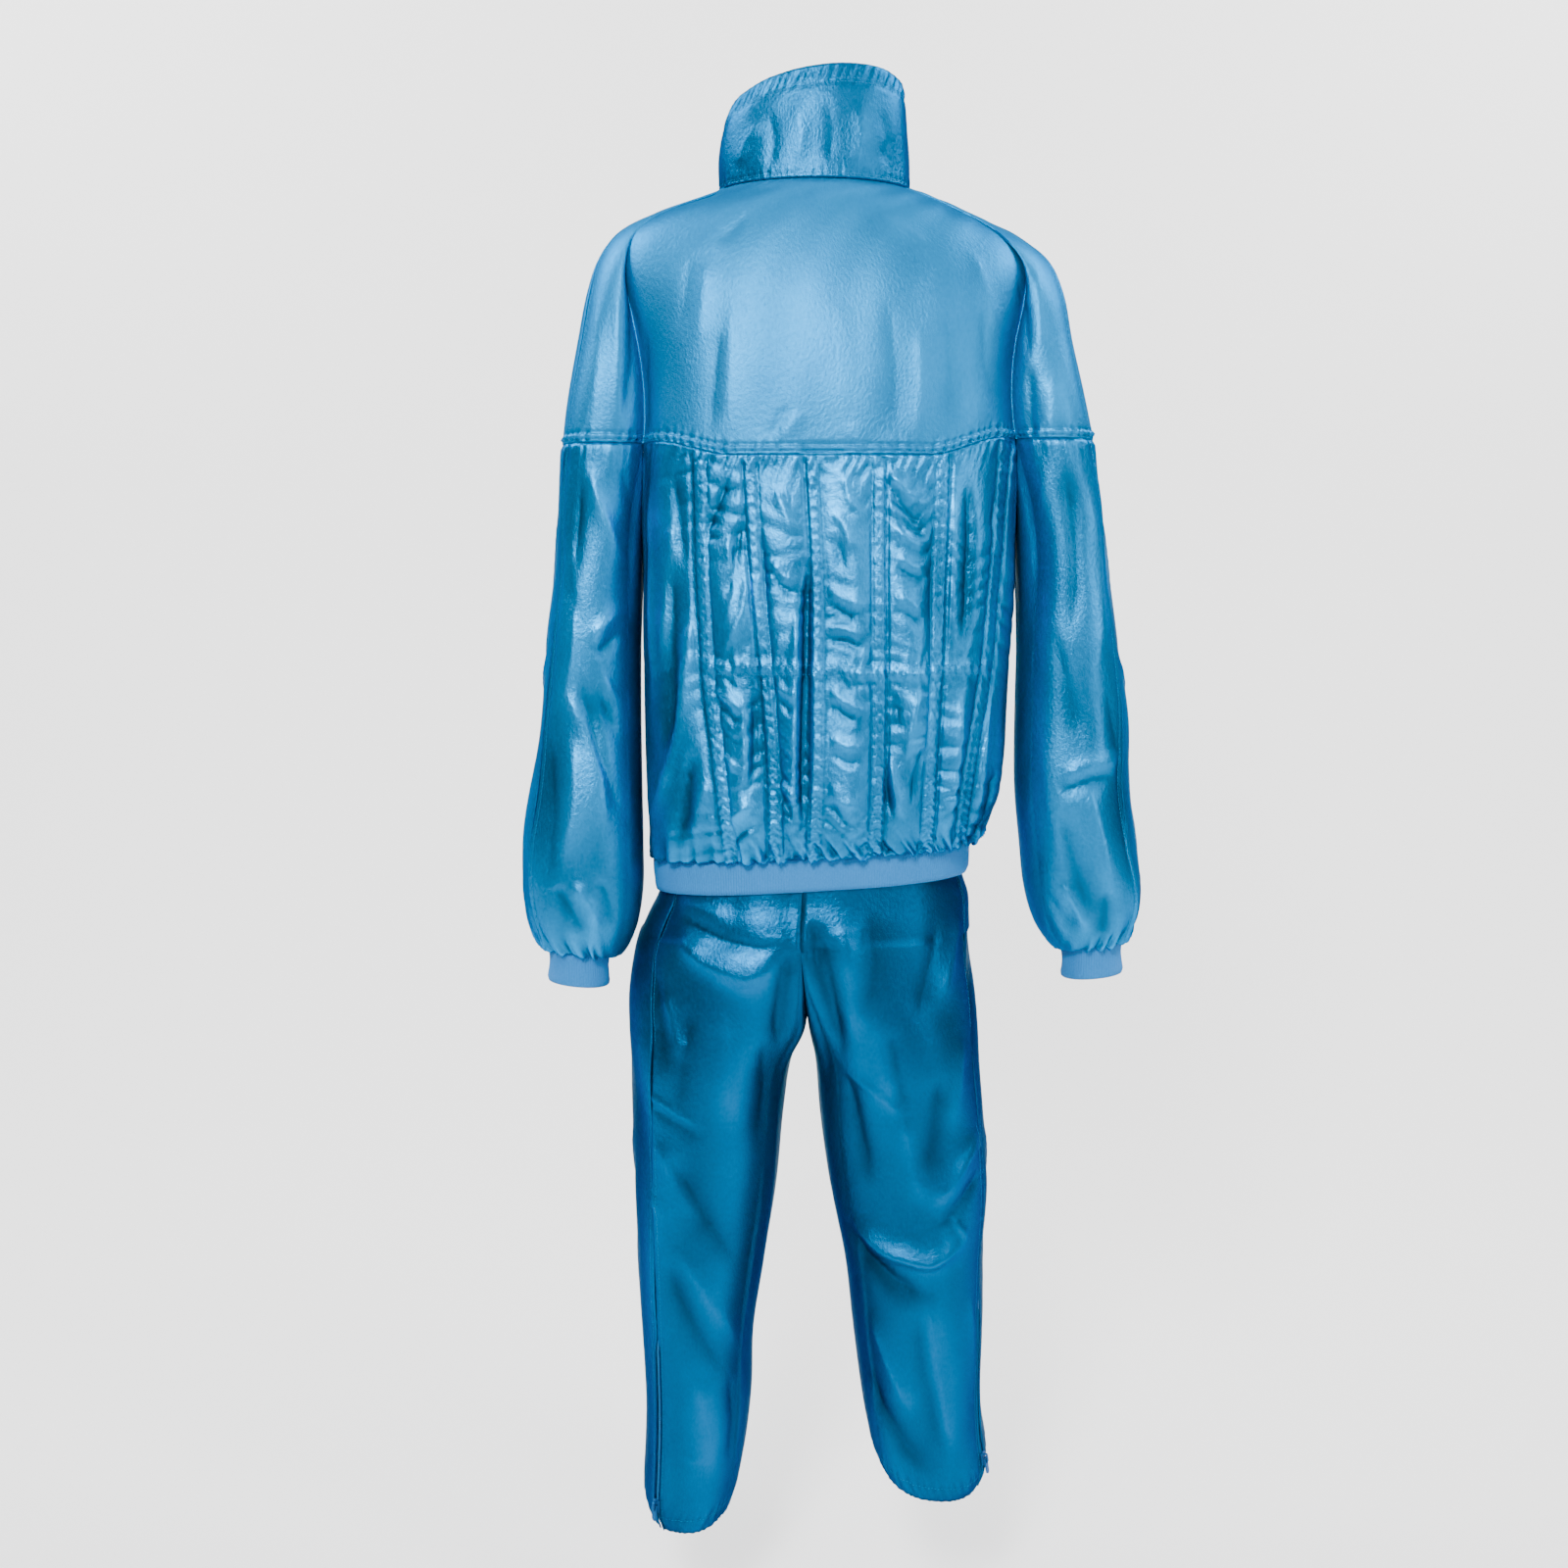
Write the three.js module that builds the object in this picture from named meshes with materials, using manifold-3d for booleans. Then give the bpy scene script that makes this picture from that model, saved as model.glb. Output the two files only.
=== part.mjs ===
// A tracksuit in silky shell cloth: a zip jacket with a funnel collar and rib trims,
// and straight trousers with a zip at each ankle, in the hollow shape that they are worn in.
// Millimetres, +Z up. The back of the garment faces +Y and the wearer's left is +X.
// The origin is the centre of the neck opening, level with the collar seam at the back.

import * as THREE from "three";
import Module from "manifold-3d";

// Cloth and making
const SHELL = 1.3; // wall of the shell cloth
const DOUBLE = 2.2; // wall of the doubled collar and waistband
const KNIT = 2.4; // wall of the rib knit
const TAPE = 1.0; // wall of a zip's tape
const SEAM_GAP = 0.36; // between two pieces that are sewn together
const FRONT_GAP = 4.6; // from the centre front to the edge beside the zip teeth
const ANKLE_GAP = 3.4; // from an ankle zip's middle to the edge beside its teeth
const GATHERS_PER_SPAN = 2; // hem gathers between two tuck bands
const GATHER_DEEP = 1.8;
const TUCK_RAISE = 1.4; // how far a shirred tuck band stands up
const TUCK_HALF = 6.5; // half the width of a tuck band
const PUFF = 4.5; // how far the cloth between two bands billows out
const FRONT_BILLOW = 0.7; // share of the back's billows and gathers that the fronts have

// Seams that a pattern cutter places, as angles round a sleeve or a leg, 0 being outermost
const OVERARM = degrees(40);
const SLEEVE_NOTCH = degrees(140); // where a sleeve's top meets the end of the armhole
const SIDE_SEAM = { left: degrees(50), right: degrees(28) };
const CENTRE_SEAM = degrees(138); // where the seat seam runs on into the inner leg
const ARMHOLE_DEEP = 0.135; // share of the body's rows from yoke seam to underarm

// Zips
const TEETH_HALF = 2.8;
const TEETH_SLOPE = 0.2; // how far the side of the teeth leans out
const TAPE_HALF = 12;
const ZIP_IN = 3.1; // from the outside of the garment to the outside of the tape
const ANKLE_TEETH_HALF = 2;
const ANKLE_TAPE_HALF = 8;
const ANKLE_ZIP_IN = 2.3;
const ANKLE_ZIP = { top: 0.675, open: 0.7, end: 0.98 }; // shares of the way from seat to hem
const SLIDER = {
  wide: 8.4, tall: 12, plate: 1.7, arch: 3.8, archLong: 9, archWide: 2.6, wall: 1.1,
  lift: 0.34, // from the outside of the teeth to the plate
  collar: 0.84, // share of the collar's height at which the front slider stands
  ankle: 0.955, // share of the way to the hem at which the ankle sliders stand
};
const TAB = { wide: 6.4, thick: 1.4, bar: 0.7, window: 4.6, windowWide: 3.6 };
const FRONT_TAB_LONG = 22;
const ANKLE_TAB_LONG = 16;

const CLOTH_BLUE = 0x2a86c4;
const YOKE_BLUE = 0x4ba9e4;
const KNIT_BLUE = 0x4f9fd8;
const ZIP_BLUE = 0x2472ad;

function degrees(value) {
  return (value * Math.PI) / 180;
}

// A table has named columns and a row for each section, from the top of a piece to its end.
function table(names, rows) {
  const keys = names.split(" ");
  return rows.map((row) => Object.fromEntries(keys.map((key, k) => [key, row[k]])));
}

// Yoke, from the neck to the yoke seam. side and mid are heights at the shoulder and at the
// centre, left and right are limits, back and front are depths, full squares the corners.
const YOKE = table("side mid left right back front full", [
  [-2, 0, 88, -93, 61, 68, 2.0],
  [-8, -8, 101, -112, 70, 78, 2.0],
  [-24, -30, 151, -152, 84, 92, 2.05],
  [-42, -62, 186, -192, 96, 102, 2.15],
  [-66, -98, 204, -224, 105, 108, 2.3],
  [-100, -136, 215, -240, 110, 112, 2.45],
  [-146, -178, 224, -249, 114, 114, 2.5],
  [-194, -218, 233, -260, 116, 115, 2.5],
  [-241, -256, 240, -270, 117, 115, 2.5],
]);

// Body below the yoke seam. drop is how far the bloused cloth hangs below its height.
const BODY = table("z left right back front full drop", [
  [-256, 163, -195, 117, 115, 3.2, 0],
  [-300, 163, -196, 119, 117, 3.0, 0],
  [-355, 163, -195, 121, 119, 2.8, 0],
  [-415, 163, -193, 124, 122, 2.7, 0],
  [-475, 163, -190, 127, 125, 2.6, 0],
  [-530, 162, -188, 129, 127, 2.6, 0],
  [-570, 161, -183, 130, 128, 2.6, 0],
  [-599, 159, -172, 128, 126, 2.6, 2],
  [-616, 158, -163, 121, 118, 2.6, 6],
  [-623, 158, -159, 116, 113, 2.6, 5],
  [-625.7, 155, -155, 109, 109, 2.6, 0],
]);
const HEM_RIB = table("z left right back front full", [
  [-626.1, 155, -155, 109, 109, 2.6],
  [-643, 154, -154, 108, 108, 2.6],
  [-660, 153, -153, 107, 107, 2.6],
]);
const HEM_TILT = 0.058; // the worn hem is lower towards the wearer's left
const ZIP_CALM = 34; // the blousing dies away this close to the front zip
const ARMHOLE_X = { left: 159, right: -191 }; // where the armholes meet the yoke seam

// How far the yoke seam rises from the centre back to either sleeve.
const SEAM_RISE = { left: 14, right: 18, from: 90, to: 165 };

// Sleeves: limits away from and towards the body, centre line in depth, half depth.
const SLEEVES = {
  left: table("z left right y deep full drop", [
    [-242, 240, 160, 0, 74, 2.5, 0],
    [-300, 245, 166, 0, 73, 2.4, 0],
    [-365, 248, 166, 2, 71, 2.3, 0],
    [-430, 256, 166, 5, 69, 2.3, 0],
    [-500, 264, 166, 10, 67, 2.3, 0],
    [-570, 273, 165, 17, 65, 2.3, 0],
    [-625, 280, 164, 24, 62, 2.3, 0],
    [-668, 281, 164, 28, 57, 2.3, 0],
    [-700, 275, 170, 30, 50, 2.3, 2],
    [-720, 264, 184, 30, 41, 2.2, 6],
    [-726, 257, 197, 30, 34, 2.1, 0],
  ]),
  right: table("z left right y deep full drop", [
    [-238, 270, 192, 0, 74, 2.5, 0],
    [-300, 279, 204, 1, 73, 2.4, 0],
    [-365, 286, 205, 3, 71, 2.3, 0],
    [-430, 297, 201, 6, 69, 2.3, 0],
    [-500, 307, 199, 9, 67, 2.3, 0],
    [-570, 310, 199, 12, 65, 2.3, 0],
    [-625, 317, 204, 14, 62, 2.3, 0],
    [-668, 324, 209, 15, 57, 2.3, 0],
    [-698, 321, 219, 15, 50, 2.3, 2],
    [-716, 312, 237, 15, 41, 2.2, 6],
    [-721, 306, 246, 15, 34, 2.1, 0],
  ]),
};
const CUFF_LONG = 33;
const CUFF_SEAT = 0.12; // between a sleeve's gathered end and its cuff, beyond the seam's gap
const CUFF_TILT = 0.1;

// Stand collar, from the neck seam to its rim, and the rim's height round the neck.
const COLLAR = table("left right back front", [
  [88, -93, 61, 68],
  [89, -93, 60, 67],
  [88.5, -92, 59, 65],
  [86, -90, 57, 62],
  [80, -86, 53, 57],
]);
const COLLAR_RIM = { mean: 80, back: 23.5, left: -12 };
const COLLAR_SEAT = 0.3; // the collar stands this far above the edge of the yoke

// Trousers above the fork: limits and depths of the whole section, and the centre seam.
const SEAT = table("z left right back front seam", [
  [-482, 138, -136, 92, 94, 6],
  [-560, 143, -142, 98, 97, 7],
  [-630, 146.5, -146.5, 102, 99, 8],
  [-653, 148, -148, 103, 100, 9],
  [-674, 150, -154, 104.5, 100.5, 10],
  [-694, 160, -155, 109, 101, 11],
  [-718, 170, -156, 112, 101, 11],
  [-742, 175, -157, 113, 100, 11],
  [-768, 178, -160, 112, 98, 8],
  [-800, 179, -163, 109, 95, 4],
]);
const SEAT_FULL = 2.4;
const WAISTBAND_TALL = 34;

// Each leg: limits away from and towards the other leg, centre line in depth, half depth.
const LEGS = {
  left: table("z left right y deep full", [
    [-700, 166, 3, 7, 105, 2.3],
    [-765, 178, 3, 7, 104, 2.3],
    [-800, 179, 4, 7, 101, 2.3],
    [-840, 179, 20, 7, 98, 2.25],
    [-890, 178, 27, 7, 94, 2.2],
    [-965, 176, 34, 8, 90, 2.2],
    [-1040, 172, 46, 10, 85, 2.2],
    [-1110, 168, 57, 12, 81, 2.2],
    [-1175, 166, 59, 14, 78, 2.2],
    [-1225, 166.5, 64, 17, 74, 2.2],
    [-1264, 167, 71, 20, 67, 2.2],
    [-1286, 160, 78, 22, 57, 2.2],
  ]),
  right: table("z left right y deep full", [
    [-700, 154, 0, 7, 105, 2.3],
    [-765, 160, 0, 7, 104, 2.3],
    [-800, 163, 2, 7, 101, 2.3],
    [-840, 166, 7, 7, 97, 2.25],
    [-890, 171, 9, 7, 93, 2.2],
    [-965, 176, 19, 8, 89, 2.2],
    [-1040, 172, 34, 10, 85, 2.2],
    [-1110, 172, 42, 12, 81, 2.2],
    [-1160, 171, 48, 14, 78, 2.2],
    [-1197, 173, 53, 16, 74, 2.2],
    [-1224, 177, 58, 18, 69, 2.2],
    [-1240, 172, 64, 20, 61, 2.2],
  ]),
};
// How far each hem is lower at the back and at the outer side than at its middle.
const HEM_SLANT = { left: { back: 14, outer: 7 }, right: { back: 27, outer: 11 } };
const SEAT_SEAM_END = -712; // the seat seam's lower end, where the fork seam turns under
const FORK = { x: 3.5, z: -797 };
const LEG_FLOW_END = -850; // by this height the seat's section has become the leg's

// Tuck bands down the lower back: where each crosses these heights, from left to right.
const TUCKS = table("z s1 s2 s3 s4 s5 s6", [
  [-256, 105, 59, 2, -60, -119, -180],
  [-355, 102, 53, -3, -60, -117, -171],
  [-460, 97, 43, -4, -61, -114, -161],
  [-530, 88, 38, -4, -61, -110, -150],
  [-626, 76, 35, -1, -58, -106, -138],
]);
const TUCK_NAMES = ["s1", "s2", "s3", "s4", "s5", "s6"];
const MID_BAND = { z: -452, half: 7, raise: 1.1 };

// Rows of the grids, as shares of a piece's length
const BODY_ROWS = [0, 0.1, 0.21, 0.335, 0.36, 0.385, 0.5, 0.62, 0.73, 0.82, 0.9, 0.96, 1];
const SLEEVE_ROWS = [0, 0.08, 0.18, 0.29, 0.4, 0.51, 0.62, 0.72, 0.81, 0.89, 0.95, 1];
const LEG_ROWS = [
  0, 0.08, 0.17, 0.28, 0.41, 0.55, ANKLE_ZIP.top, ANKLE_ZIP.open, 0.8, 0.88, 0.94, ANKLE_ZIP.end, 1,
];
const SEAT_ROWS = 5;
const YOKE_ROWS = 8;

// A smooth line through one column of a table, v running from 0 at the top to 1 at the end.
function along(rows, key, v) {
  const last = rows.length - 1;
  const s = Math.min(Math.max(v, 0), 1) * last;
  const k = Math.min(Math.floor(s), last - 1);
  const t = s - k;
  const here = rows[k][key];
  const next = rows[k + 1][key];
  const before = k > 0 ? rows[k - 1][key] : 2 * here - next;
  const after = k + 1 < last ? rows[k + 2][key] : 2 * next - here;
  const slopeHere = (next - before) / 2;
  const slopeNext = (after - here) / 2;
  const bend = 2 * (here - next) + slopeHere + slopeNext;
  const curve = 3 * (next - here) - 2 * slopeHere - slopeNext;
  return here + t * (slopeHere + t * (curve + t * bend));
}

// The value of v at which a table's falling height column reaches z.
function heightToV(rows, z) {
  let low = 0;
  let high = 1;
  for (let step = 0; step < 30; step += 1) {
    const middle = (low + high) / 2;
    if (along(rows, "z", middle) > z) low = middle;
    else high = middle;
  }
  return (low + high) / 2;
}

function smooth(from, to, x) {
  const t = Math.min(Math.max((x - from) / (to - from), 0), 1);
  return t * t * (3 - 2 * t);
}

function mix(a, b, t) {
  return a + (b - a) * t;
}

function spread(from, to, cells) {
  return Array.from({ length: cells + 1 }, (_, k) => mix(from, to, k / cells));
}

function signedPower(value, power) {
  return Math.sign(value) * Math.abs(value) ** power;
}

// A horizontal section at v of a table, at an angle from +X towards +Y, as [x, y].
function section(rows, angle, v, full = along(rows, "full", v)) {
  const left = along(rows, "left", v);
  const right = along(rows, "right", v);
  const s = Math.sin(angle);
  const depth = rows[0].deep ? along(rows, "deep", v) : along(rows, s > 0 ? "back" : "front", v);
  const x = (left + right) / 2 + ((left - right) / 2) * signedPower(Math.cos(angle), 2 / full);
  return [x, depth * signedPower(s, 2 / full)];
}

function middleX(rows, v) {
  return (along(rows, "left", v) + along(rows, "right", v)) / 2;
}

// The angle, from 0 to 180 degrees, at which a section reaches x.
function angleAtX(rows, x, v, full = along(rows, "full", v)) {
  const half = (along(rows, "left", v) - along(rows, "right", v)) / 2;
  const share = Math.min(Math.max((x - middleX(rows, v)) / half, -1), 1);
  return Math.acos(signedPower(share, full / 2));
}

// Body of the jacket
function seamRise(x) {
  const away = x - middleX(BODY, 0);
  const rise = away > 0 ? SEAM_RISE.left : SEAM_RISE.right;
  return rise * smooth(SEAM_RISE.from, SEAM_RISE.to, Math.abs(away));
}

function bodyPoint(angle, v) {
  const [x, y] = section(BODY, angle, v);
  const fromZip = y < 0 ? 1 - Math.exp(-(((x - middleX(BODY, v)) / ZIP_CALM) ** 2)) : 1;
  const tilt = HEM_TILT * x * smooth(0.62, 1, v);
  const rise = seamRise(x) * (1 - smooth(0, 0.2, v));
  const z = along(BODY, "z", v) - along(BODY, "drop", v) * fromZip - tilt + rise;
  return new THREE.Vector3(x, y, z);
}

const ARMHOLE = {
  left: angleAtX(BODY, ARMHOLE_X.left, 0),
  right: angleAtX(BODY, ARMHOLE_X.right, 0),
};

// The armhole's edge drops from the yoke seam at share 0 to the underarm at share 1.
function armholeDrop(share) {
  return ARMHOLE_DEEP * Math.sqrt(1 - (1 - Math.min(Math.max(share, 0), 1)) ** 2);
}

function armholeShare(angle) {
  const turned = Math.abs(angle);
  if (turned < ARMHOLE.left) return 1 - turned / ARMHOLE.left;
  if (turned > ARMHOLE.right) return 1 - (Math.PI - turned) / (Math.PI - ARMHOLE.right);
  return 0;
}

// Sleeves. side is "left" or "right"; a right sleeve is worked out on +X and turned over.
const SIGN = { left: 1, right: -1 };

function sleeveRound(side, angle, v) {
  const rows = SLEEVES[side];
  const [x, y] = section(rows, angle, v);
  const droop = along(rows, "drop", v) * (1 - 0.45 * Math.cos(angle));
  const tilt = CUFF_TILT * (x - middleX(rows, v)) * smooth(0.7, 1, v);
  const z = along(rows, "z", v) - droop + tilt;
  return new THREE.Vector3(SIGN[side] * x, y + along(rows, "y", v), z);
}

// The sleeve's side of the armhole, a seam's gap outside the body's edge.
function armholeEdge(side, angle) {
  const share = (Math.abs(angle) - SLEEVE_NOTCH) / (Math.PI - SLEEVE_NOTCH);
  const fromNotch = Math.min(Math.max(share, 0), 1);
  const bodyAngle = mix(ARMHOLE[side], side === "left" ? 0 : Math.PI, fromNotch);
  const edge = bodyPoint(Math.sign(angle) * bodyAngle, armholeDrop(fromNotch));
  edge.x += SIGN[side] * SEAM_GAP * 1.5;
  return edge;
}

function sleeveTop(angle) {
  return armholeDrop((Math.abs(angle) - SLEEVE_NOTCH) / (Math.PI - SLEEVE_NOTCH));
}

// The round sleeve, pulled onto the armhole's edge at the top of its inner side.
function sleevePoint(side, angle, v) {
  const notch = Math.sign(angle) * Math.max(Math.abs(angle), SLEEVE_NOTCH);
  const top = sleeveTop(notch);
  const pull = armholeEdge(side, notch).sub(sleeveRound(side, notch, top));
  const near = smooth(SLEEVE_NOTCH - degrees(60), SLEEVE_NOTCH, Math.abs(angle));
  const fade = near * (1 - smooth(top, top + 0.2, v));
  return sleeveRound(side, angle, v).addScaledVector(pull, fade);
}

function cuffPoint(side, angle, v) {
  const rows = SLEEVES[side];
  const top = sleevePoint(side, angle, 1);
  const axis = new THREE.Vector3(SIGN[side] * middleX(rows, 1), along(rows, "y", 1), top.z);
  const point = top.lerp(axis, 0.05 * Math.sin(v * Math.PI));
  point.z -= CUFF_LONG * v + CUFF_SEAT;
  return point;
}

// Yoke: smooth meridians from the neck, pulled at the bottom onto the loop that the body
// and the sleeves start from, so that a soft valley forms between back and arm.
function yokeRound(angle, v) {
  const [x, y] = section(YOKE, angle, v);
  const toMiddle = Math.abs(Math.sin(angle)) ** 1.5;
  return new THREE.Vector3(x, y, mix(along(YOKE, "side", v), along(YOKE, "mid", v), toMiddle));
}

function yokeAngle(point) {
  const half = (along(YOKE, "left", 1) - along(YOKE, "right", 1)) / 2;
  const power = along(YOKE, "full", 1) / 2;
  const depth = along(YOKE, point.y > 0 ? "back" : "front", 1);
  const c = signedPower((point.x - middleX(YOKE, 1)) / half, power);
  return Math.atan2(signedPower(point.y / depth, power), c);
}

// One column for each point of the seam loop. The loop's points at from and to start at the
// neck angles, and any beyond them carry on past the seam.
function yokeColumns(loop, neckFrom, neckTo, from = 1, to = loop.length - 2) {
  const lowest = Math.min(neckFrom, neckTo) - degrees(45);
  const angles = loop.map(yokeAngle).map((angle) => (angle < lowest ? angle + 2 * Math.PI : angle));
  return loop.map((point, i) => {
    const share = (angles[i] - angles[from]) / (angles[to] - angles[from]);
    const pull = point.clone().sub(yokeRound(angles[i], 1));
    return spread(0, 1, YOKE_ROWS).map((v) => {
      const angle = mix(mix(neckFrom, neckTo, share), angles[i], smooth(0, 0.9, v));
      return yokeRound(angle, v).addScaledVector(pull, smooth(0.3, 1, v));
    });
  });
}

// Collar and hem rib
function collarPoint(angle, v) {
  const [x, y] = section(COLLAR, angle, v, 2);
  const seam = mix(YOKE[0].side, YOKE[0].mid, Math.abs(Math.sin(angle)) ** 1.5);
  const rim = COLLAR_RIM.mean + COLLAR_RIM.back * Math.sin(angle) + COLLAR_RIM.left * Math.cos(angle);
  return new THREE.Vector3(x, y, mix(seam + COLLAR_SEAT, rim, v));
}

function hemRibPoint(angle, v) {
  const [x, y] = section(HEM_RIB, angle, v);
  return new THREE.Vector3(x, y, along(HEM_RIB, "z", v) - HEM_TILT * x);
}

// Trousers. angle runs round a leg, 0 outermost and positive towards the back, and between
// the centre seams it also runs round the seat from the centre back to the centre front.
function seatPoint(side, angle, v) {
  const quarter = Math.PI / 2;
  const turn = Math.min(Math.max((angle / CENTRE_SEAM) * quarter, -quarter), quarter);
  const seam = SIGN[side] * along(SEAT, "seam", v);
  const outer = SIGN[side] * along(SEAT, side, v);
  const x = seam + (outer - seam) * signedPower(Math.cos(turn), 2 / SEAT_FULL);
  const depth = along(SEAT, turn > 0 ? "back" : "front", v);
  const y = depth * signedPower(Math.sin(turn), 2 / SEAT_FULL);
  return new THREE.Vector3(SIGN[side] * x, y, along(SEAT, "z", v));
}

function legPoint(side, angle, v) {
  const rows = LEGS[side];
  const [x, y] = section(rows, angle, v);
  const slant = HEM_SLANT[side].back * Math.sin(angle) + HEM_SLANT[side].outer * Math.cos(angle);
  const z = along(rows, "z", v) - slant * smooth(0.55, 1, v);
  return new THREE.Vector3(SIGN[side] * x, y + along(rows, "y", v), z);
}

function trouserPoint(side, angle, height) {
  const toLeg = 1 - smooth(LEG_FLOW_END, SEAT_SEAM_END, height);
  if (toLeg === 0) return seatPoint(side, angle, heightToV(SEAT, height));
  const legV = heightToV(LEGS[side], height);
  const leg = legPoint(side, angle, legV);
  if (toLeg === 1) return leg;
  const corner = Math.sign(angle) * Math.min(Math.abs(angle), CENTRE_SEAM);
  const seat = seatPoint(side, corner, heightToV(SEAT, height));
  const pull = seat.sub(legPoint(side, corner, legV)).multiplyScalar(1 - toLeg);
  const past = (Math.abs(angle) - CENTRE_SEAM) / (Math.PI - CENTRE_SEAM);
  return leg.addScaledVector(pull, (1 - Math.min(Math.max(past, 0), 1)) ** 2);
}

// The fork seam, from the seat seam's end under the fork to the front seam's end.
function forkPoint(side, angle) {
  const turned = (Math.abs(angle) - CENTRE_SEAM) / (Math.PI - CENTRE_SEAM);
  const turn = (turned * Math.PI) / 2;
  const end = trouserPoint(side, Math.sign(angle) * CENTRE_SEAM, SEAT_SEAM_END);
  const level = heightToV(SEAT, SEAT_SEAM_END);
  const middle = (along(SEAT, "back", level) - along(SEAT, "front", level)) / 2;
  const x = mix(end.x, FORK.x, Math.sin(turn)) + (SIGN[side] * SEAM_GAP) / 2;
  const z = mix(SEAT_SEAM_END, FORK.z, Math.sin(turn) ** 0.85);
  return new THREE.Vector3(x, mix(middle, end.y, Math.cos(turn)), z);
}

// A point below the seat at a share v of the way down to the hem, the inner leg's included.
function lowerLegPoint(side, angle, v) {
  const hem = LEGS[side].at(-1).z;
  if (Math.abs(angle) <= CENTRE_SEAM) return trouserPoint(side, angle, mix(SEAT_SEAM_END, hem, v));
  const fork = forkPoint(side, angle);
  const pull = fork.clone().sub(trouserPoint(side, angle, fork.z));
  return trouserPoint(side, angle, mix(fork.z, hem, v)).addScaledVector(pull, 1 - smooth(0, 0.2, v));
}

// A wall of cloth over a grid of columns and rows of outer points. Where a grid has no point
// there is no cloth. Each free edge is drawn back by half a seam's gap, the inner points lie
// one thickness in, raised outer points stand up by lift, and a rim closes every edge.
// before and after are the neighbour's next columns: they only turn the edge's normals, so
// that two pieces meet square to the seam. centre is a point inside the garment, for a strip
// too narrow to show by its own curve which side is out.
function clothWall(name, columns, options) {
  const { thickness = SHELL, around = false, inset = 0, lift = () => 0, before, after } = options;
  const across = columns.length;
  const down = columns[0].length;
  const column = (i) => {
    if (around) return columns[(i + across) % across];
    if (i === -1) return before;
    return i === across ? after : columns[i];
  };
  const at = (i, j) => column(i)?.[j] ?? null;
  const filled = (i, j) => Boolean(at(i, j) && at(i + 1, j) && at(i, j + 1) && at(i + 1, j + 1));
  const cell = (i, j) => (around || (i >= 0 && i < across - 1)) && filled(i, j);

  const points = columns.flat().filter(Boolean);
  const mean = new THREE.Vector3();
  points.forEach((point) => mean.addScaledVector(point, 1 / points.length));
  const centre = options.centre ?? mean;
  const normals = columns.map((rows, i) => rows.map((point, j) => point && gridNormal(i, j)));

  function gridNormal(i, j) {
    const sum = new THREE.Vector3();
    for (const [ci, cj] of [[i - 1, j - 1], [i, j - 1], [i - 1, j], [i, j]]) {
      if (!filled(ci, cj)) continue;
      const one = at(ci + 1, cj + 1).clone().sub(at(ci, cj));
      const two = at(ci, cj + 1).clone().sub(at(ci + 1, cj));
      sum.add(one.cross(two).normalize());
    }
    return sum.normalize();
  }

  let outward = 0;
  columns.forEach((rows, i) => rows.forEach((point, j) => {
    if (point) outward += Math.sign(normals[i][j].dot(point.clone().sub(centre)));
  }));
  const turn = outward < 0 ? -1 : 1;

  function drawnBack(i, j) {
    const point = at(i, j).clone();
    const left = [cell(i - 1, j - 1), cell(i - 1, j)].filter(Boolean).length;
    const right = [cell(i, j - 1), cell(i, j)].filter(Boolean).length;
    const above = [cell(i - 1, j - 1), cell(i, j - 1)].filter(Boolean).length;
    const below = [cell(i - 1, j), cell(i, j)].filter(Boolean).length;
    const towards = (other) => other.clone().sub(at(i, j)).normalize().multiplyScalar(SEAM_GAP / 2);
    if (left !== right) point.add(towards(left < right ? at(i + 1, j) : at(i - 1, j)));
    if (above !== below) point.add(towards(above < below ? at(i, j + 1) : at(i, j - 1)));
    return point;
  }

  const outer = [];
  const inner = [];
  const index = new Map();
  columns.forEach((rows, i) => rows.forEach((point, j) => {
    if (!point) return;
    const edge = drawnBack(i, j).addScaledVector(normals[i][j], -turn * inset);
    index.set(`${i},${j}`, outer.length);
    outer.push(edge.clone().addScaledVector(normals[i][j], turn * lift(i, j)));
    inner.push(edge.clone().addScaledVector(normals[i][j], -turn * thickness));
  }));
  const id = (i, j) => index.get(`${(i + across) % across},${j}`);
  const count = outer.length;
  const faces = [];
  const quad = (a, b, c, d) => faces.push(a, b, c, a, c, d);
  for (let i = 0; i < (around ? across : across - 1); i += 1) {
    for (let j = 0; j < down - 1; j += 1) {
      if (!cell(i, j)) continue;
      const [a, b, c, d] = [id(i, j), id(i + 1, j), id(i + 1, j + 1), id(i, j + 1)];
      quad(a, b, c, d);
      quad(count + d, count + c, count + b, count + a);
      if (!cell(i, j - 1)) quad(b, a, count + a, count + b);
      if (!cell(i, j + 1)) quad(d, c, count + c, count + d);
      if (!cell(i - 1, j)) quad(a, d, count + d, count + a);
      if (!cell(i + 1, j)) quad(c, b, count + b, count + c);
    }
  }
  if (turn < 0) faces.reverse();
  const geometry = new THREE.BufferGeometry();
  const places = [...outer, ...inner].flatMap((point) => point.toArray());
  geometry.setAttribute("position", new THREE.Float32BufferAttribute(places, 3));
  geometry.setIndex(faces);
  geometry.computeVertexNormals();
  return { name, geometry };
}

// Jacket back: columns follow the tuck bands, so that each band has its own raised middle.
function tuckX(k, v) {
  const z = along(BODY, "z", v);
  return along(TUCKS, TUCK_NAMES[k], heightToV(TUCKS, z));
}

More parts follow.
